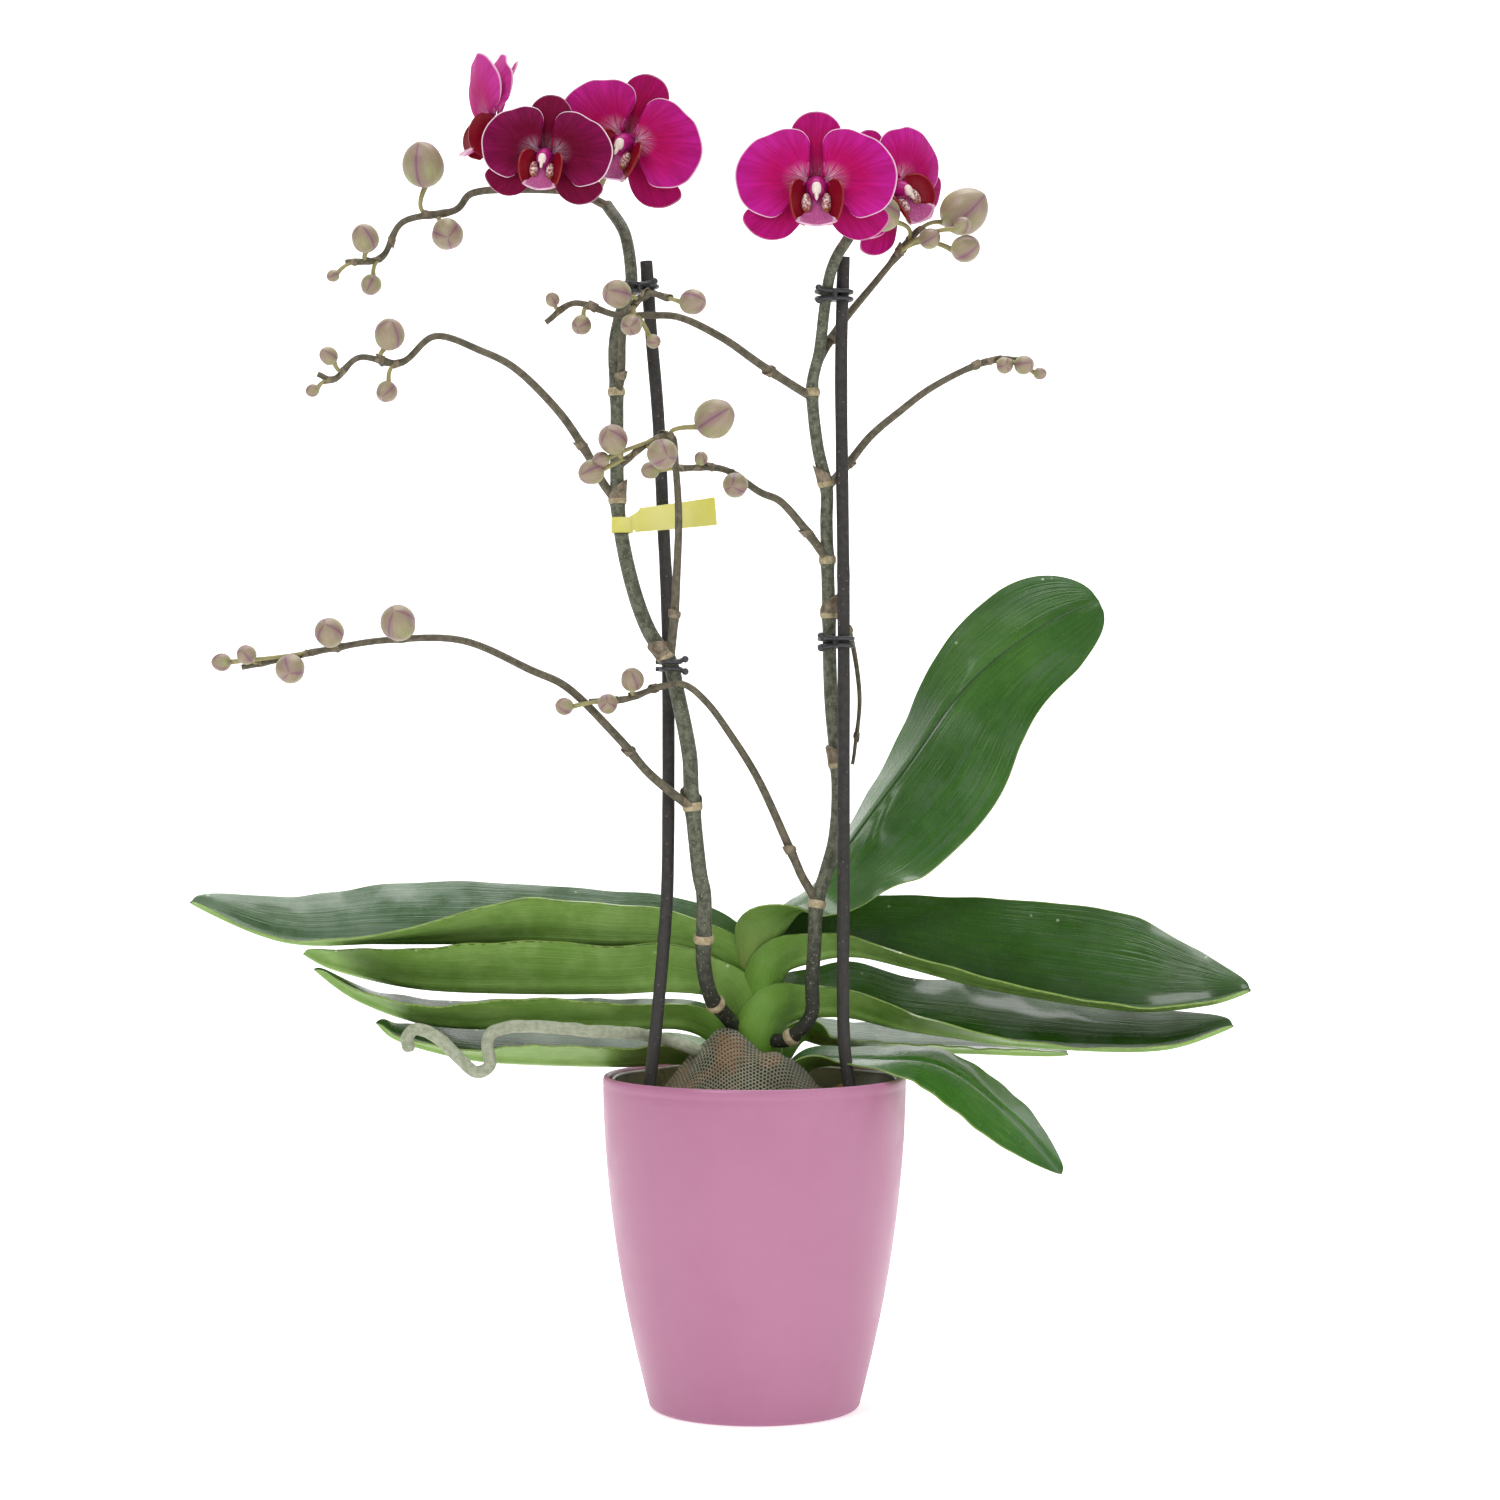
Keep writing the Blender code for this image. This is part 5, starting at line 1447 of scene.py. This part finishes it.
def scale_round(path: Array, index: int, radius: float, length: float, turn: float) -> list:
    """A dry scale that clasps a stem: a cone wrapped most of the way, ending in a point.

    It reaches 2.6 (1 - v^1.6) radians to each side, and its radius grows as 1.06 + 0.24 v^2.

    Args:
        path: The stem.
        index: Where the scale starts along it.
        radius: The stem's radius there.
        length: The scale's length.
        turn: Which way round it points, in radians.

    Returns:
        The scale's patches.
    """
    tangent, first, second = (d[index] for d in frames(path))
    v, u = shares(12)[:, None], np.linspace(-1, 1, 21)[None]
    angle = turn + 2.6 * (1 - v**1.6) * u
    reach = radius * (1.06 + 0.24 * v**2) + 0.0002
    out = np.cos(angle)[..., None] * first + np.sin(angle)[..., None] * second
    grid = path[index] + reach[..., None] * out + (length * v)[..., None] * tangent
    return thick(grid, 0.0003, grid_uv(12, 21), 1)


def scar_round(path: Array, index: int, radius: float, height: float = 0.0034) -> Patch:
    """A raised cream ring round a stem where a scale has come off."""
    tangent = frames(path)[0][index]
    steps = np.linspace(-0.5, 0.5, 7)
    ring = path[index] + steps[:, None] * height * tangent
    return tube(ring, radius + 0.0002 + 0.0004 * np.cos(np.pi * steps), 20, 2)


def swell(path: Array, index: int, size: float, reach: float) -> Array:
    """A node's swelling: 1 plus size times a bell of the distance from a point of the path."""
    return 1 + size * bell(np.linalg.norm(path - path[index], axis=1), reach)


@dataclass
class Stem:
    """One of the two flower stems, with swollen nodes, cream scars and dry scales."""

    side: Side
    radius: float = 0.0031
    scale_length: float = 0.0085

    def path(self) -> Array:
        """The stem's centre line."""
        return smooth(mm(STEM_ROUTES[self.side]), 360)

    def build(self) -> None:
        """Make the stem."""
        path = self.path()
        thin = 1.0 if self.side is Side.LEFT else 0.92
        radii = self.radius * thin * (1.03 - 0.22 * ease(shares(len(path)), 0.35, 1.0))
        patches = []
        for number, (height, kind) in enumerate(STEM_NODES[self.side]):
            index = int(np.abs(path[:, 2] - RIM - height * MM).argmin())
            radii = radii * swell(path, index, 0.14, 0.0035)
            if kind is Mark.SCALE:
                patches += scale_round(path, index, radii[index], self.scale_length,
                                       1.9 * number)
            patches.append(scar_round(path, index, radii[index]))
        patches.insert(0, tube(path, radii, 20))
        side = self.side.value
        place(build(f"stem_{side}", patches, [STEM_SKIN, SCALE, SCAR]), "stem",
              f"spike_{side}_stem")


@dataclass
class Bud:
    """A closed bud on an arched stalk."""

    centre: Array
    radius: float
    start: Array
    leaning: Array
    seed: int
    stalk: float = 0.0011  # the stalk's radius
    point: float = 0.07  # the tip's length, in half lengths

    def patches(self) -> list[Patch]:
        """Return the stalk, its foot scale and the bud.

        The bud is a sphere stretched along its axis, fuller low down, pressed in along three
        seams, with a point.
        """
        rng = np.random.default_rng(self.seed + 100)
        gap = self.centre - self.start
        size = np.linalg.norm(gap)
        axis = unit(gap / max(size, 1e-6) + [0, -0.7, 0.15] + rng.normal(0, 0.12, 3))
        half = 1.06 * self.radius
        foot = self.centre - axis * half
        knee = self.start + 0.35 * size * self.leaning + 0.25 * size * axis - 0.3 * half * axis
        t = shares(22)[:, None]
        stalk = bent(self.start, knee, foot + axis * 0.0006, t)
        bulk = 0.75 + 0.25 * min(self.radius / 0.006, 1)
        thin = self.stalk * (0.8 + 0.35 * t[:, 0] ** 3) * bulk
        v = (1 - np.cos(np.pi * t)) / 2
        turn = round_turn(29)[None]
        seam = np.cos(1.5 * turn) ** 8
        shape = np.sin(np.pi * t) * (1.03 - 0.14 * v)
        press = 1 - 0.05 * seam * np.sin(np.pi * t)
        side = unit(np.cross(axis, rng.normal(0, 1, 3)))
        other = np.cross(axis, side)
        point = self.point * half * ease(t, 0.86, 1.0)
        along = foot + (2 * half * v + point)[..., None] * axis
        points = along + (self.radius * shape * press)[..., None] * (
            np.cos(turn)[..., None] * side + np.sin(turn)[..., None] * other)
        bud = plain(points, 3, join(turn / (2 * np.pi), v))
        foot_scale = scale_round(stalk, 1, 0.0012, 0.0034, rng.uniform(0, 6))
        return [tube(stalk, thin, 10, 4), bud, *foot_scale]


@dataclass(frozen=True)
class Branch:
    """A branch of a spike: its route, its buds (x, y, z, radius in mm) and small scales."""

    node: str
    route: tuple
    buds: tuple
    radius: float = 0.0019
    count: int = 150  # points along it

    def build(self, seed: int) -> None:
        """Make the branch with its buds."""
        path = smooth(mm(self.route), self.count)
        radii = self.radius * (1 - 0.38 * shares(self.count))
        patches = []
        free = np.arange(2, self.count - 6)
        for number, (*spot, size) in enumerate(self.buds):
            centre = mm(spot)
            index = int(free[np.linalg.norm(path[free] - centre, axis=1).argmin()])
            free = free[np.abs(free - index) > 5]
            radii = radii * swell(path, index, 0.22, 0.0022)
            lean = unit(path[min(index + 3, self.count - 1)] - path[index - 1])
            patches += Bud(centre, size * MM, path[index], lean, seed * 17 + number).patches()
        for index in np.linspace(24, self.count - 30, 2).astype(int):
            radii = radii * swell(path, index, 0.15, 0.0025)
            patches += scale_round(path, index, radii[index], 0.0042, seed + 0.1 * index)
        patches.insert(0, tube(path, radii, 16))
        finishes = [BRANCH_SKIN, SCALE, SCAR, BUD, STALK_SKIN]
        place(build(self.node.replace("spike_", ""), patches, finishes), "stem", self.node)


BRANCHES = (
    Branch("spike_left_branch_low",
           ((-26, -31, 113), (-43, -34, 127), (-56, -36, 142), (-76, -38, 162), (-92, -39, 170),
            (-120, -42, 182), (-151, -44, 182), (-176, -44, 178), (-195, -43, 174),
            (-210, -42, 171)),
           ((-145, -52, 189, 7.6), (-173, -52, 185, 6.3), (-189, -51, 170, 6.3),
            (-207, -50, 176, 4.2), (-218, -45, 173, 3.9))),
    Branch("spike_left_branch_mid",
           ((-57, -28, 240), (-63, -29, 248), (-70, -30, 261), (-81, -31, 277), (-98, -31, 294),
            (-113, -31, 302), (-132, -31, 308), (-146, -32, 297), (-163, -33, 299),
            (-173, -34, 290), (-180, -34, 292)),
           ((-150, -38, 308, 6.6), (-151, -40, 284, 4.6), (-175, -39, 299, 3.9),
            (-182, -36, 285, 2.8))),
    Branch("spike_left_branch_front_low",
           ((-35, -32, 174), (-33, -38, 191), (-32, -43, 207), (-31, -48, 231), (-32, -53, 251),
            (-34, -56, 264), (-45, -58, 260), (-54, -60, 252)),
           ((-16, -62, 271, 8.3), (-37, -67, 256, 6.5), (-57, -68, 262, 6.2),
            (-66, -63, 249, 5.3), (-62, -64, 254, 3.5))),
    Branch("spike_left_branch_front_high",
           ((-57, -28, 282), (-55, -33, 294), (-54, -40, 308), (-50, -46, 318), (-43, -49, 323),
            (-35, -50, 321)),
           ((-56, -56, 322, 6.1), (-50, -58, 309, 4.6), (-25, -54, 319, 5.5),
            (-41, -54, 303, 3.1))),
    Branch("spike_right_branch_top",
           ((26, -20, 298), (32, -16, 309), (39, -13, 319), (53, -12, 336), (66, -12, 352),
            (70, -12, 356)),
           ((53, -30, 359, 7.5), (88, -12, 363, 10.1), (73, -21, 350, 4.6), (88, -20, 346, 6.0),
            (86, -30, 354, 3.6))),
    Branch("spike_right_branch_mid",
           ((29, -19, 245), (34, -14, 251), (40, -12, 258), (49, -12, 269), (61, -13, 279),
            (73, -14, 288), (88, -15, 296), (100, -16, 300), (111, -17, 300)),
           ((104, -22, 297, 3.7), (112, -24, 297, 4.2), (119, -19, 294, 2.7))),
    Branch("spike_right_branch_left_high",
           ((24, -20, 284), (15, -24, 289), (2, -28, 297), (-13, -32, 307), (-30, -35, 315),
            (-43, -36, 316), (-57, -37, 316), (-74, -36, 321), (-86, -36, 313)),
           ((-83, -40, 322, 3.1), (-71, -43, 311, 4.3))),
    Branch("spike_right_branch_left_mid",
           ((30, -18, 217), (21, -21, 229), (11, -25, 240), (2, -28, 244), (-13, -32, 253),
            (-32, -36, 253)),
           ((-8, -37, 246, 5.5), (-22, -38, 257, 3.0), (-43, -38, 252, 3.8))),
    Branch("spike_right_branch_left_low",
           ((26, -14, 74), (20, -18, 84), (16, -20, 93), (2, -25, 124), (-11, -29, 145),
            (-20, -34, 157), (-29, -38, 164), (-39, -39, 163), (-53, -40, 158), (-68, -41, 157)),
           ((-50, -46, 166, 5.0), (-60, -47, 156, 4.4), (-78, -43, 155, 3.8))),
    Branch("spike_right_side_shoot",
           ((31, -15, 193), (37, -11, 192), (41, -11, 182), (44, -12, 159), (42, -13, 138),
            (41, -13, 131)), (), 0.0012),
    Branch("spike_left_raceme",
           ((-61, -10, 365), (-76, -5, 372), (-98, -6, 373), (-118, -9, 371), (-126, -12, 363),
            (-147, -14, 358), (-156, -15, 343), (-171, -15, 341)),
           ((-138, -20, 381, 9.2), (-128, -19, 352, 7.0), (-162, -22, 350, 6.0),
            (-176, -17, 335, 2.7), (-160, -18, 331, 4.5))),
)


# ---------------------------------------------------------------- flowers


class Part(Enum):
    """Flat outlines of a flower's parts, in spans, to the right of the centre."""

    PETAL = ((0.05, 0.065), (0.054, 0.14), (0.046, 0.23), (0.048, 0.287), (0.082, 0.337),
             (0.131, 0.356), (0.21, 0.356), (0.30, 0.32), (0.379, 0.287), (0.446, 0.219),
             (0.485, 0.152), (0.5, 0.073), (0.485, -0.017), (0.457, -0.084), (0.40, -0.14),
             (0.289, -0.18), (0.233, -0.163), (0.188, -0.107), (0.154, -0.05), (0.12, -0.017),
             (0.064, 0.028))
    TOP_SEPAL = ((0.045, 0.05), (0.06, 0.14), (0.11, 0.24), (0.148, 0.32), (0.145, 0.38),
                 (0.10, 0.435), (0.04, 0.464), (-0.04, 0.464), (-0.10, 0.435), (-0.145, 0.38),
                 (-0.148, 0.32), (-0.11, 0.24), (-0.06, 0.14), (-0.045, 0.05))
    SIDE_SEPAL = ((0.03, -0.02), (0.06, -0.14), (0.12, -0.24), (0.19, -0.30), (0.28, -0.318),
                  (0.37, -0.29), (0.43, -0.235), (0.455, -0.18), (0.42, -0.13), (0.33, -0.10),
                  (0.22, -0.05), (0.08, 0.0))


# In spans about a flower's centre: x to the right, y behind, z up.
PETAL_WALL = 0.012
PETAL_CUP = 0.2  # how fast a petal or sepal bends back
PETAL_FORM = (0.035, 0.045, 0.008)  # how far a petal stands forward, swells and ruffles
SEPAL_FORM = (0.022, 0.005)  # how far a sepal swells and ruffles
COLUMN_ROUTE = ((0, 0.03, 0.0), (0, -0.03, 0.01), (0, -0.09, 0.004), (0, -0.14, -0.022))
COLUMN_RADII = (0.05, 0.056, 0.06, 0.056, 0.044)
THROAT = ((0, 0.016, 0.0), (0.11, 0.035, 0.11))  # centre and half sides, as in the next two
ANTHER = ((0, -0.150, -0.012), (0.030, 0.028, 0.038))
BEAK = ((0, -0.160, -0.052), (0.013, 0.020, 0.034))
HUMP_CENTRE, HUMP_HALF = (0.062, -0.10, -0.100), (0.031, 0.05, 0.062)
STALK_RADIUS = 0.0012  # in metres
# The lip's spoon: share of its length, then a value at each.
SPOON_HALF = ((0, 0.3, 0.6, 0.8, 0.93, 1), (0.03, 0.05, 0.09, 0.13, 0.12, 0.02))
SPOON_Y = ((0, 0.4, 0.75, 1.0), (-0.06, -0.12, -0.18, -0.23))
SPOON_Z = ((0, 0.3, 0.6, 0.85, 1), (-0.09, -0.15, -0.205, -0.24, -0.245))
SPOON_HOLLOW = 0.25


@dataclass(frozen=True)
class Blossom:
    """The finishes of one flower's petals and sepals."""

    petal: PetalSkin
    sepal: PetalSkin


RED = Blossom(PetalSkin("petal_red", "640226", "7C0C48", "440016", "8E1240", 0.42, 0.85),
              PetalSkin("sepal_red", "660024", "720838", "4A0014", "96304F", 0.2, 0.3, 0.6))
PINK = Blossom(PetalSkin("petal_pink", "B2085A", "B81C8C", "88003E", "C04C90", 0.6, 0.7),
               PetalSkin("sepal_pink", "A4064A", "AC1070", "74002E", "B0557C", 0.15, 0.35, 0.5))
DEEP = Blossom(PetalSkin("petal_deep", "AA064C", "B01A80", "7C0036", "B84888", 0.6, 0.65),
               PetalSkin("sepal_deep", "92003C", "9A0658", "6C002C", "A8506F", 0.2, 0.3, 0.5))
PALE = Blossom(PetalSkin("petal_pale", "B4206C", "C43C98", "922056", "D07AAE", 0.4, 0.5),
               PetalSkin("sepal_pale", "B4306A", "BE4A8E", "8C1A4E", "CE8AA6", 0.3, 0.4))
LIP_SIDE = LipSkin("lip_side", "84061E", "9A4A1A", "A02840", 0.20, 1500.0, 0.975)
LIP_HUMP = LipSkin("lip_hump", "F0E0D8", "F0E0D8", "8A1028", 0.95, 2100.0, 1.2, 0.85,
                   "9A5420")
LIP_FRONT = LipSkin("lip_front", "C05C98", "E0B4CC", "EBCBDB", 0.35, 1700.0, 0.6)
COLUMN = LipSkin("column", "A81474", "B83C8C", "D070AC", 0.25, 1800.0, 0.9)
CAP = LipSkin("anther_cap", "EFE2D6", "E9DCD3", "D9B6BC", 0.15, 1200.0, 1.2)


def petal_grid(outline: Sequence, mirror: int, lift: float, puff: float, ruffle: float,
               phase: float, rows: int = 20, columns: int = 72) -> tuple[Array, Array]:
    """A petal's surface in spans: rays from its root line to its outline.

    A point is root + (outline - root) v. Its depth is cup (x^2 + z^2) - puff sin(pi v) less a
    lift, plus two sine ruffles that grow as v^4.

    Args:
        outline: The outline's points, the first and last on the root line.
        mirror: 1 for right, -1 for left.
        lift: Distance in front of the sepals' plane.
        puff: How far the middle swells forward.
        ruffle: Height of the ruffles at the edge.
        phase: Shifts the ruffles.
        rows: Rows from root to edge.
        columns: Columns round the outline.

    Returns:
        Points and UVs.
    """
    edge = smooth(np.pad(np.array(outline), ((0, 0), (0, 1))), columns)[:, :2]
    a = shares(columns)[:, None]
    root = edge[0] * (1 - a) + edge[-1] * a
    v = shares(rows)[:, None, None]
    flat = root[None] + (edge - root)[None] * v
    x, z = flat[..., 0] * mirror, flat[..., 1]
    v, turn = v[..., 0], a[None, :, 0] * 2 * np.pi
    wave = np.sin(3 * turn + phase) + 0.6 * np.sin(7 * turn + 2 * phase)
    y = PETAL_CUP * (x**2 + z**2) - puff * np.sin(np.pi * v) - lift + ruffle * wave * v**4
    return join(x, y, z), grid_uv(rows, columns)


@dataclass(frozen=True)
class Flower:
    """An open flower: centre (mm over the rim), span (mm), and how it turns, nods and rolls."""

    name: str
    centre: tuple
    span: float
    turn: float
    nod: float
    roll: float
    stalk: tuple
    blossom: Blossom
    bends: tuple = ((0, 0, 0), (0, 0, 0))  # left and right petal: raised, leant, swung, degrees

    def hub(self) -> Matrix:
        """The matrix from spans about the flower's centre to the part's frame."""
        hub = Matrix.Translation(Vector(mm([self.centre])[0]))
        for axis, angle in zip("ZXY", (self.turn, self.nod, self.roll)):
            hub = hub @ Matrix.Rotation(math.radians(angle), 4, axis)
        return hub @ Matrix.Scale(self.span * MM, 4)

    def sheet(self, grid: Array, uv: Array, finish: int = 0) -> list[Patch]:
        """Give a grid in spans a petal's wall and carry it to its place."""
        return [patch.moved(self.hub()) for patch in thick(grid, PETAL_WALL, uv, finish)]

    def petals(self) -> None:
        """Make the two petals."""
        for mirror, side, bends in zip((-1, 1), Side, self.bends):
            grid, uv = petal_grid(Part.PETAL.value, mirror, *PETAL_FORM, mirror + self.span)
            raised, leant, swung = (math.radians(angle) for angle in bends)
            turn = (Matrix.Rotation(leant, 4, "X") @ Matrix.Rotation(swung, 4, "Z")
                    @ Matrix.Rotation(-mirror * raised, 4, "Y"))
            grid = grid @ np.array(turn)[:3, :3].T
            if mirror < 0:
                grid, uv = grid[:, ::-1], uv[:, ::-1]
            piece = build(f"{self.name}_{side.value}_petal", self.sheet(grid, uv),
                          [self.blossom.petal])
            place(piece, "petal", f"{self.name}_petal_{side.value}")

    def sepals(self) -> None:
        """Make the three sepals, the stalk and the column."""
        patches = []
        shapes = ((Part.TOP_SEPAL, 1), (Part.SIDE_SEPAL, -1), (Part.SIDE_SEPAL, 1))
        for number, (part, mirror) in enumerate(shapes):
            grid, uv = petal_grid(part.value, mirror, -0.004 * number, *SEPAL_FORM,
                                  number + self.span, 18, 56)
            if mirror > 0:
                grid, uv = grid[:, ::-1], uv[:, ::-1]
            patches += self.sheet(grid, uv)
        hub = self.hub()
        start = mm([self.stalk])[0]
        back = np.array(hub @ Vector((0, 0.035, 0)))
        behind = np.array(hub @ Vector((0, 0.16, 0.02)))
        knee = (start + behind) / 2 + [0, 0, 0.006]
        stalk = smooth(np.array([start, knee, behind, back]), 40)
        patches.append(tube(stalk, STALK_RADIUS * (1 + 0.5 * shares(40) ** 2), 14, 1))
        column = smooth(np.array(COLUMN_ROUTE), 18)
        radii = np.interp(shares(18), shares(len(COLUMN_RADII)), COLUMN_RADII)
        middle = (tube(column, radii, 20, 2), egg(*THROAT, 2, 20), egg(*ANTHER, 3, 18, 0.8),
                  egg(*BEAK, 3, 12))
        patches += [patch.moved(hub) for patch in middle]
        finishes = [self.blossom.sepal, STALK_SKIN, COLUMN, CAP]
        place(build(f"{self.name}_back", patches, finishes), "sepal", f"{self.name}_sepals")

    def lip(self) -> None:
        """Make the lip: two upright side lobes, a spotted hump and a forward spoon.

        A side lobe is a curve from its foot through a bulge to its rim, for each height p, its
        reach forward falling as sqrt(1 - (2p - 1)^2). The spoon follows a bent centre line,
        hollowed by the square of the distance across.
        """
        hub = self.hub()
        patches = []
        p, q = shares(26)[:, None], shares(14)[None]
        round_ = np.sqrt(np.clip(1 - (2 * p - 1) ** 2, 0, 1)) ** 0.8
        for mirror in (-1, 1):
            foot = join(0.085 - 0.015 * round_ - 0.03 * p, -0.05 - 0.02 * round_,
                        0.035 - 0.245 * p)
            bulge = join(0.10 + 0.06 * round_ - 0.03 * p, -0.07 - 0.06 * round_,
                         0.045 - 0.265 * p)
            rim = join(0.10 + 0.075 * round_ - 0.03 * p, -0.08 - 0.13 * round_, 0.05 - 0.285 * p)
            grid = bent(foot, bulge, rim, q[..., None]) * [mirror, 1, 1]
            patches += self.sheet(grid, join(p, q))
        for mirror in (-1, 1):
            hump = egg(np.multiply(HUMP_CENTRE, (mirror, 1, 1)), HUMP_HALF, 1, 18)
            patches.append(hump.moved(hub))
        t, s = shares(24)[:, None], np.linspace(-1, 1, 19)[None]
        wide, spine_y, spine_z = (np.interp(t, *table)
                                  for table in (SPOON_HALF, SPOON_Y, SPOON_Z))
        hollow = SPOON_HOLLOW * wide * s**2
        grid = join(wide * s, spine_y + hollow, spine_z + hollow)
        uv = join((s + 1) / 2, np.maximum(np.abs(s) * t, t**3))
        patches += self.sheet(grid, uv, 2)
        finishes = [LIP_SIDE, LIP_HUMP, LIP_FRONT]
        place(build(f"{self.name}_front", patches, finishes), "lip", f"{self.name}_lip")

    def build(self) -> None:
        """Make the flower's four pieces."""
        self.petals()
        self.sepals()
        self.lip()


FLOWERS = (
    Flower("flower_left_front", (-85, -52, 378), 54, -6, 8, 8, (-82, -9, 372), RED),
    Flower("flower_left_right", (-53, -28, 388), 64, -14, 6, 24, (-66, -4, 372), DEEP),
    Flower("flower_left_back", (-108, -2, 400), 62, -78, -10, 0, (-100, -9, 377), PALE,
           ((64, 8, 12), (66, 30, 12))),
    Flower("flower_right_front", (25, -50, 366), 66, 0, 6, 0, (40, -25, 362), PINK),
    Flower("flower_right_back", (58, -14, 371), 60, 38, 2, -38, (47, -19, 364), PINK),
)


# ---------------------------------------------------------------- whole plant and studio


@dataclass
class PottedOrchid:
    """The pot and everything in it."""

    clips: tuple = ((Side.LEFT, "low", 0.172), (Side.LEFT, "top", 0.328),
                    (Side.RIGHT, "low", 0.182), (Side.RIGHT, "top", 0.326))
    stems: dict = field(default_factory=lambda: {side: Stem(side) for side in Side})

    def build(self) -> None:
        """Make every piece."""
        for part in (CoverPot(), GrowPot(), Bed(), NetPlug(), Crown(), AerialRoot(), *LEAVES):
            part.build()
        for side, stem in self.stems.items():
            stem.build()
            Stake(side).build()
        for side, word, height in self.clips:
            Clip(f"clip_{side.value}_{word}", side, height).build(self.stems[side].path())
        Label().build(self.stems[Side.LEFT].path())
        for seed, branch in enumerate(BRANCHES):
            branch.build(seed)
        for flower in FLOWERS:
            flower.build()


@dataclass
class Studio:
    """A pale floor and backdrop, soft square lights and the camera."""

    wall: float = 1.6  # how far behind the pot the backdrop stands
    bend: float = 0.5  # radius of its bend
    lights: tuple = (  # name, place, side, power and the point it looks at
        ("key", (-0.9, -1.5, 1.7), 0.8, 20.0, (0.0, 0.0, 0.3)),
        ("fill", (1.4, -1.3, 0.9), 1.4, 10.5, (0.0, 0.0, 0.3)),
        ("top", (0.1, 0.3, 2.0), 0.9, 12.0, (0.0, 0.0, 0.3)),
        ("wall", (0.0, 0.4, 2.1), 1.5, 22.0, (0.0, 1.6, 0.9)))
    sky: tuple = (0.95, 0.97, 1.0, 1.0)
    sky_power: float = 0.27
    eye: tuple = (-0.0019, -1.37, 0.2771)
    lens: float = 77.8
    sensor: float = 36.0

    def build(self) -> None:
        """Make the stage, lights and camera."""
        bow = np.linspace(0, np.pi / 2, 14)
        start = self.wall - self.bend
        y = np.hstack([-3.0, start + self.bend * np.sin(bow), self.wall])
        z = np.hstack([0.0, self.bend - self.bend * np.cos(bow), 4.0])
        x = np.linspace(-4, 4, 9)[None]
        points = join(x, y[:, None], z[:, None])
        paper = Plastic("backdrop_paper", "F2F2F1", "EDEDEC", 0.9, 0.0, glow=0.5)
        build("backdrop", [plain(points)], [paper], 60)
        for light in self.lights:
            self.light(*light)
        world = bpy.data.worlds.new("studio")
        world.use_nodes = True
        back = world.node_tree.nodes["Background"].inputs
        back[0].default_value, back[1].default_value = self.sky, self.sky_power
        bpy.context.scene.world = world
        camera = bpy.data.objects.new("camera", bpy.data.cameras.new("camera"))
        camera.data.lens, camera.data.sensor_width = self.lens, self.sensor
        camera.location = self.eye
        camera.rotation_euler = (math.pi / 2, 0, 0)
        bpy.context.scene.collection.objects.link(camera)
        bpy.context.scene.camera = camera
        bpy.context.scene.view_settings.view_transform = "Standard"

    @staticmethod
    def light(name: str, spot: tuple, size: float, power: float, aim: tuple) -> None:
        """Add a square area light that looks at a point."""
        data = bpy.data.lights.new(name, "AREA")
        data.size, data.energy = size, power
        lamp = bpy.data.objects.new(name, data)
        lamp.location = spot
        way = Vector(aim) - Vector(spot)
        lamp.rotation_euler = way.to_track_quat("-Z", "Y").to_euler()
        bpy.context.scene.collection.objects.link(lamp)


def main() -> None:
    """Build the plant and its studio."""
    PottedOrchid().build()
    Studio().build()


if __name__ == "__main__":
    main()
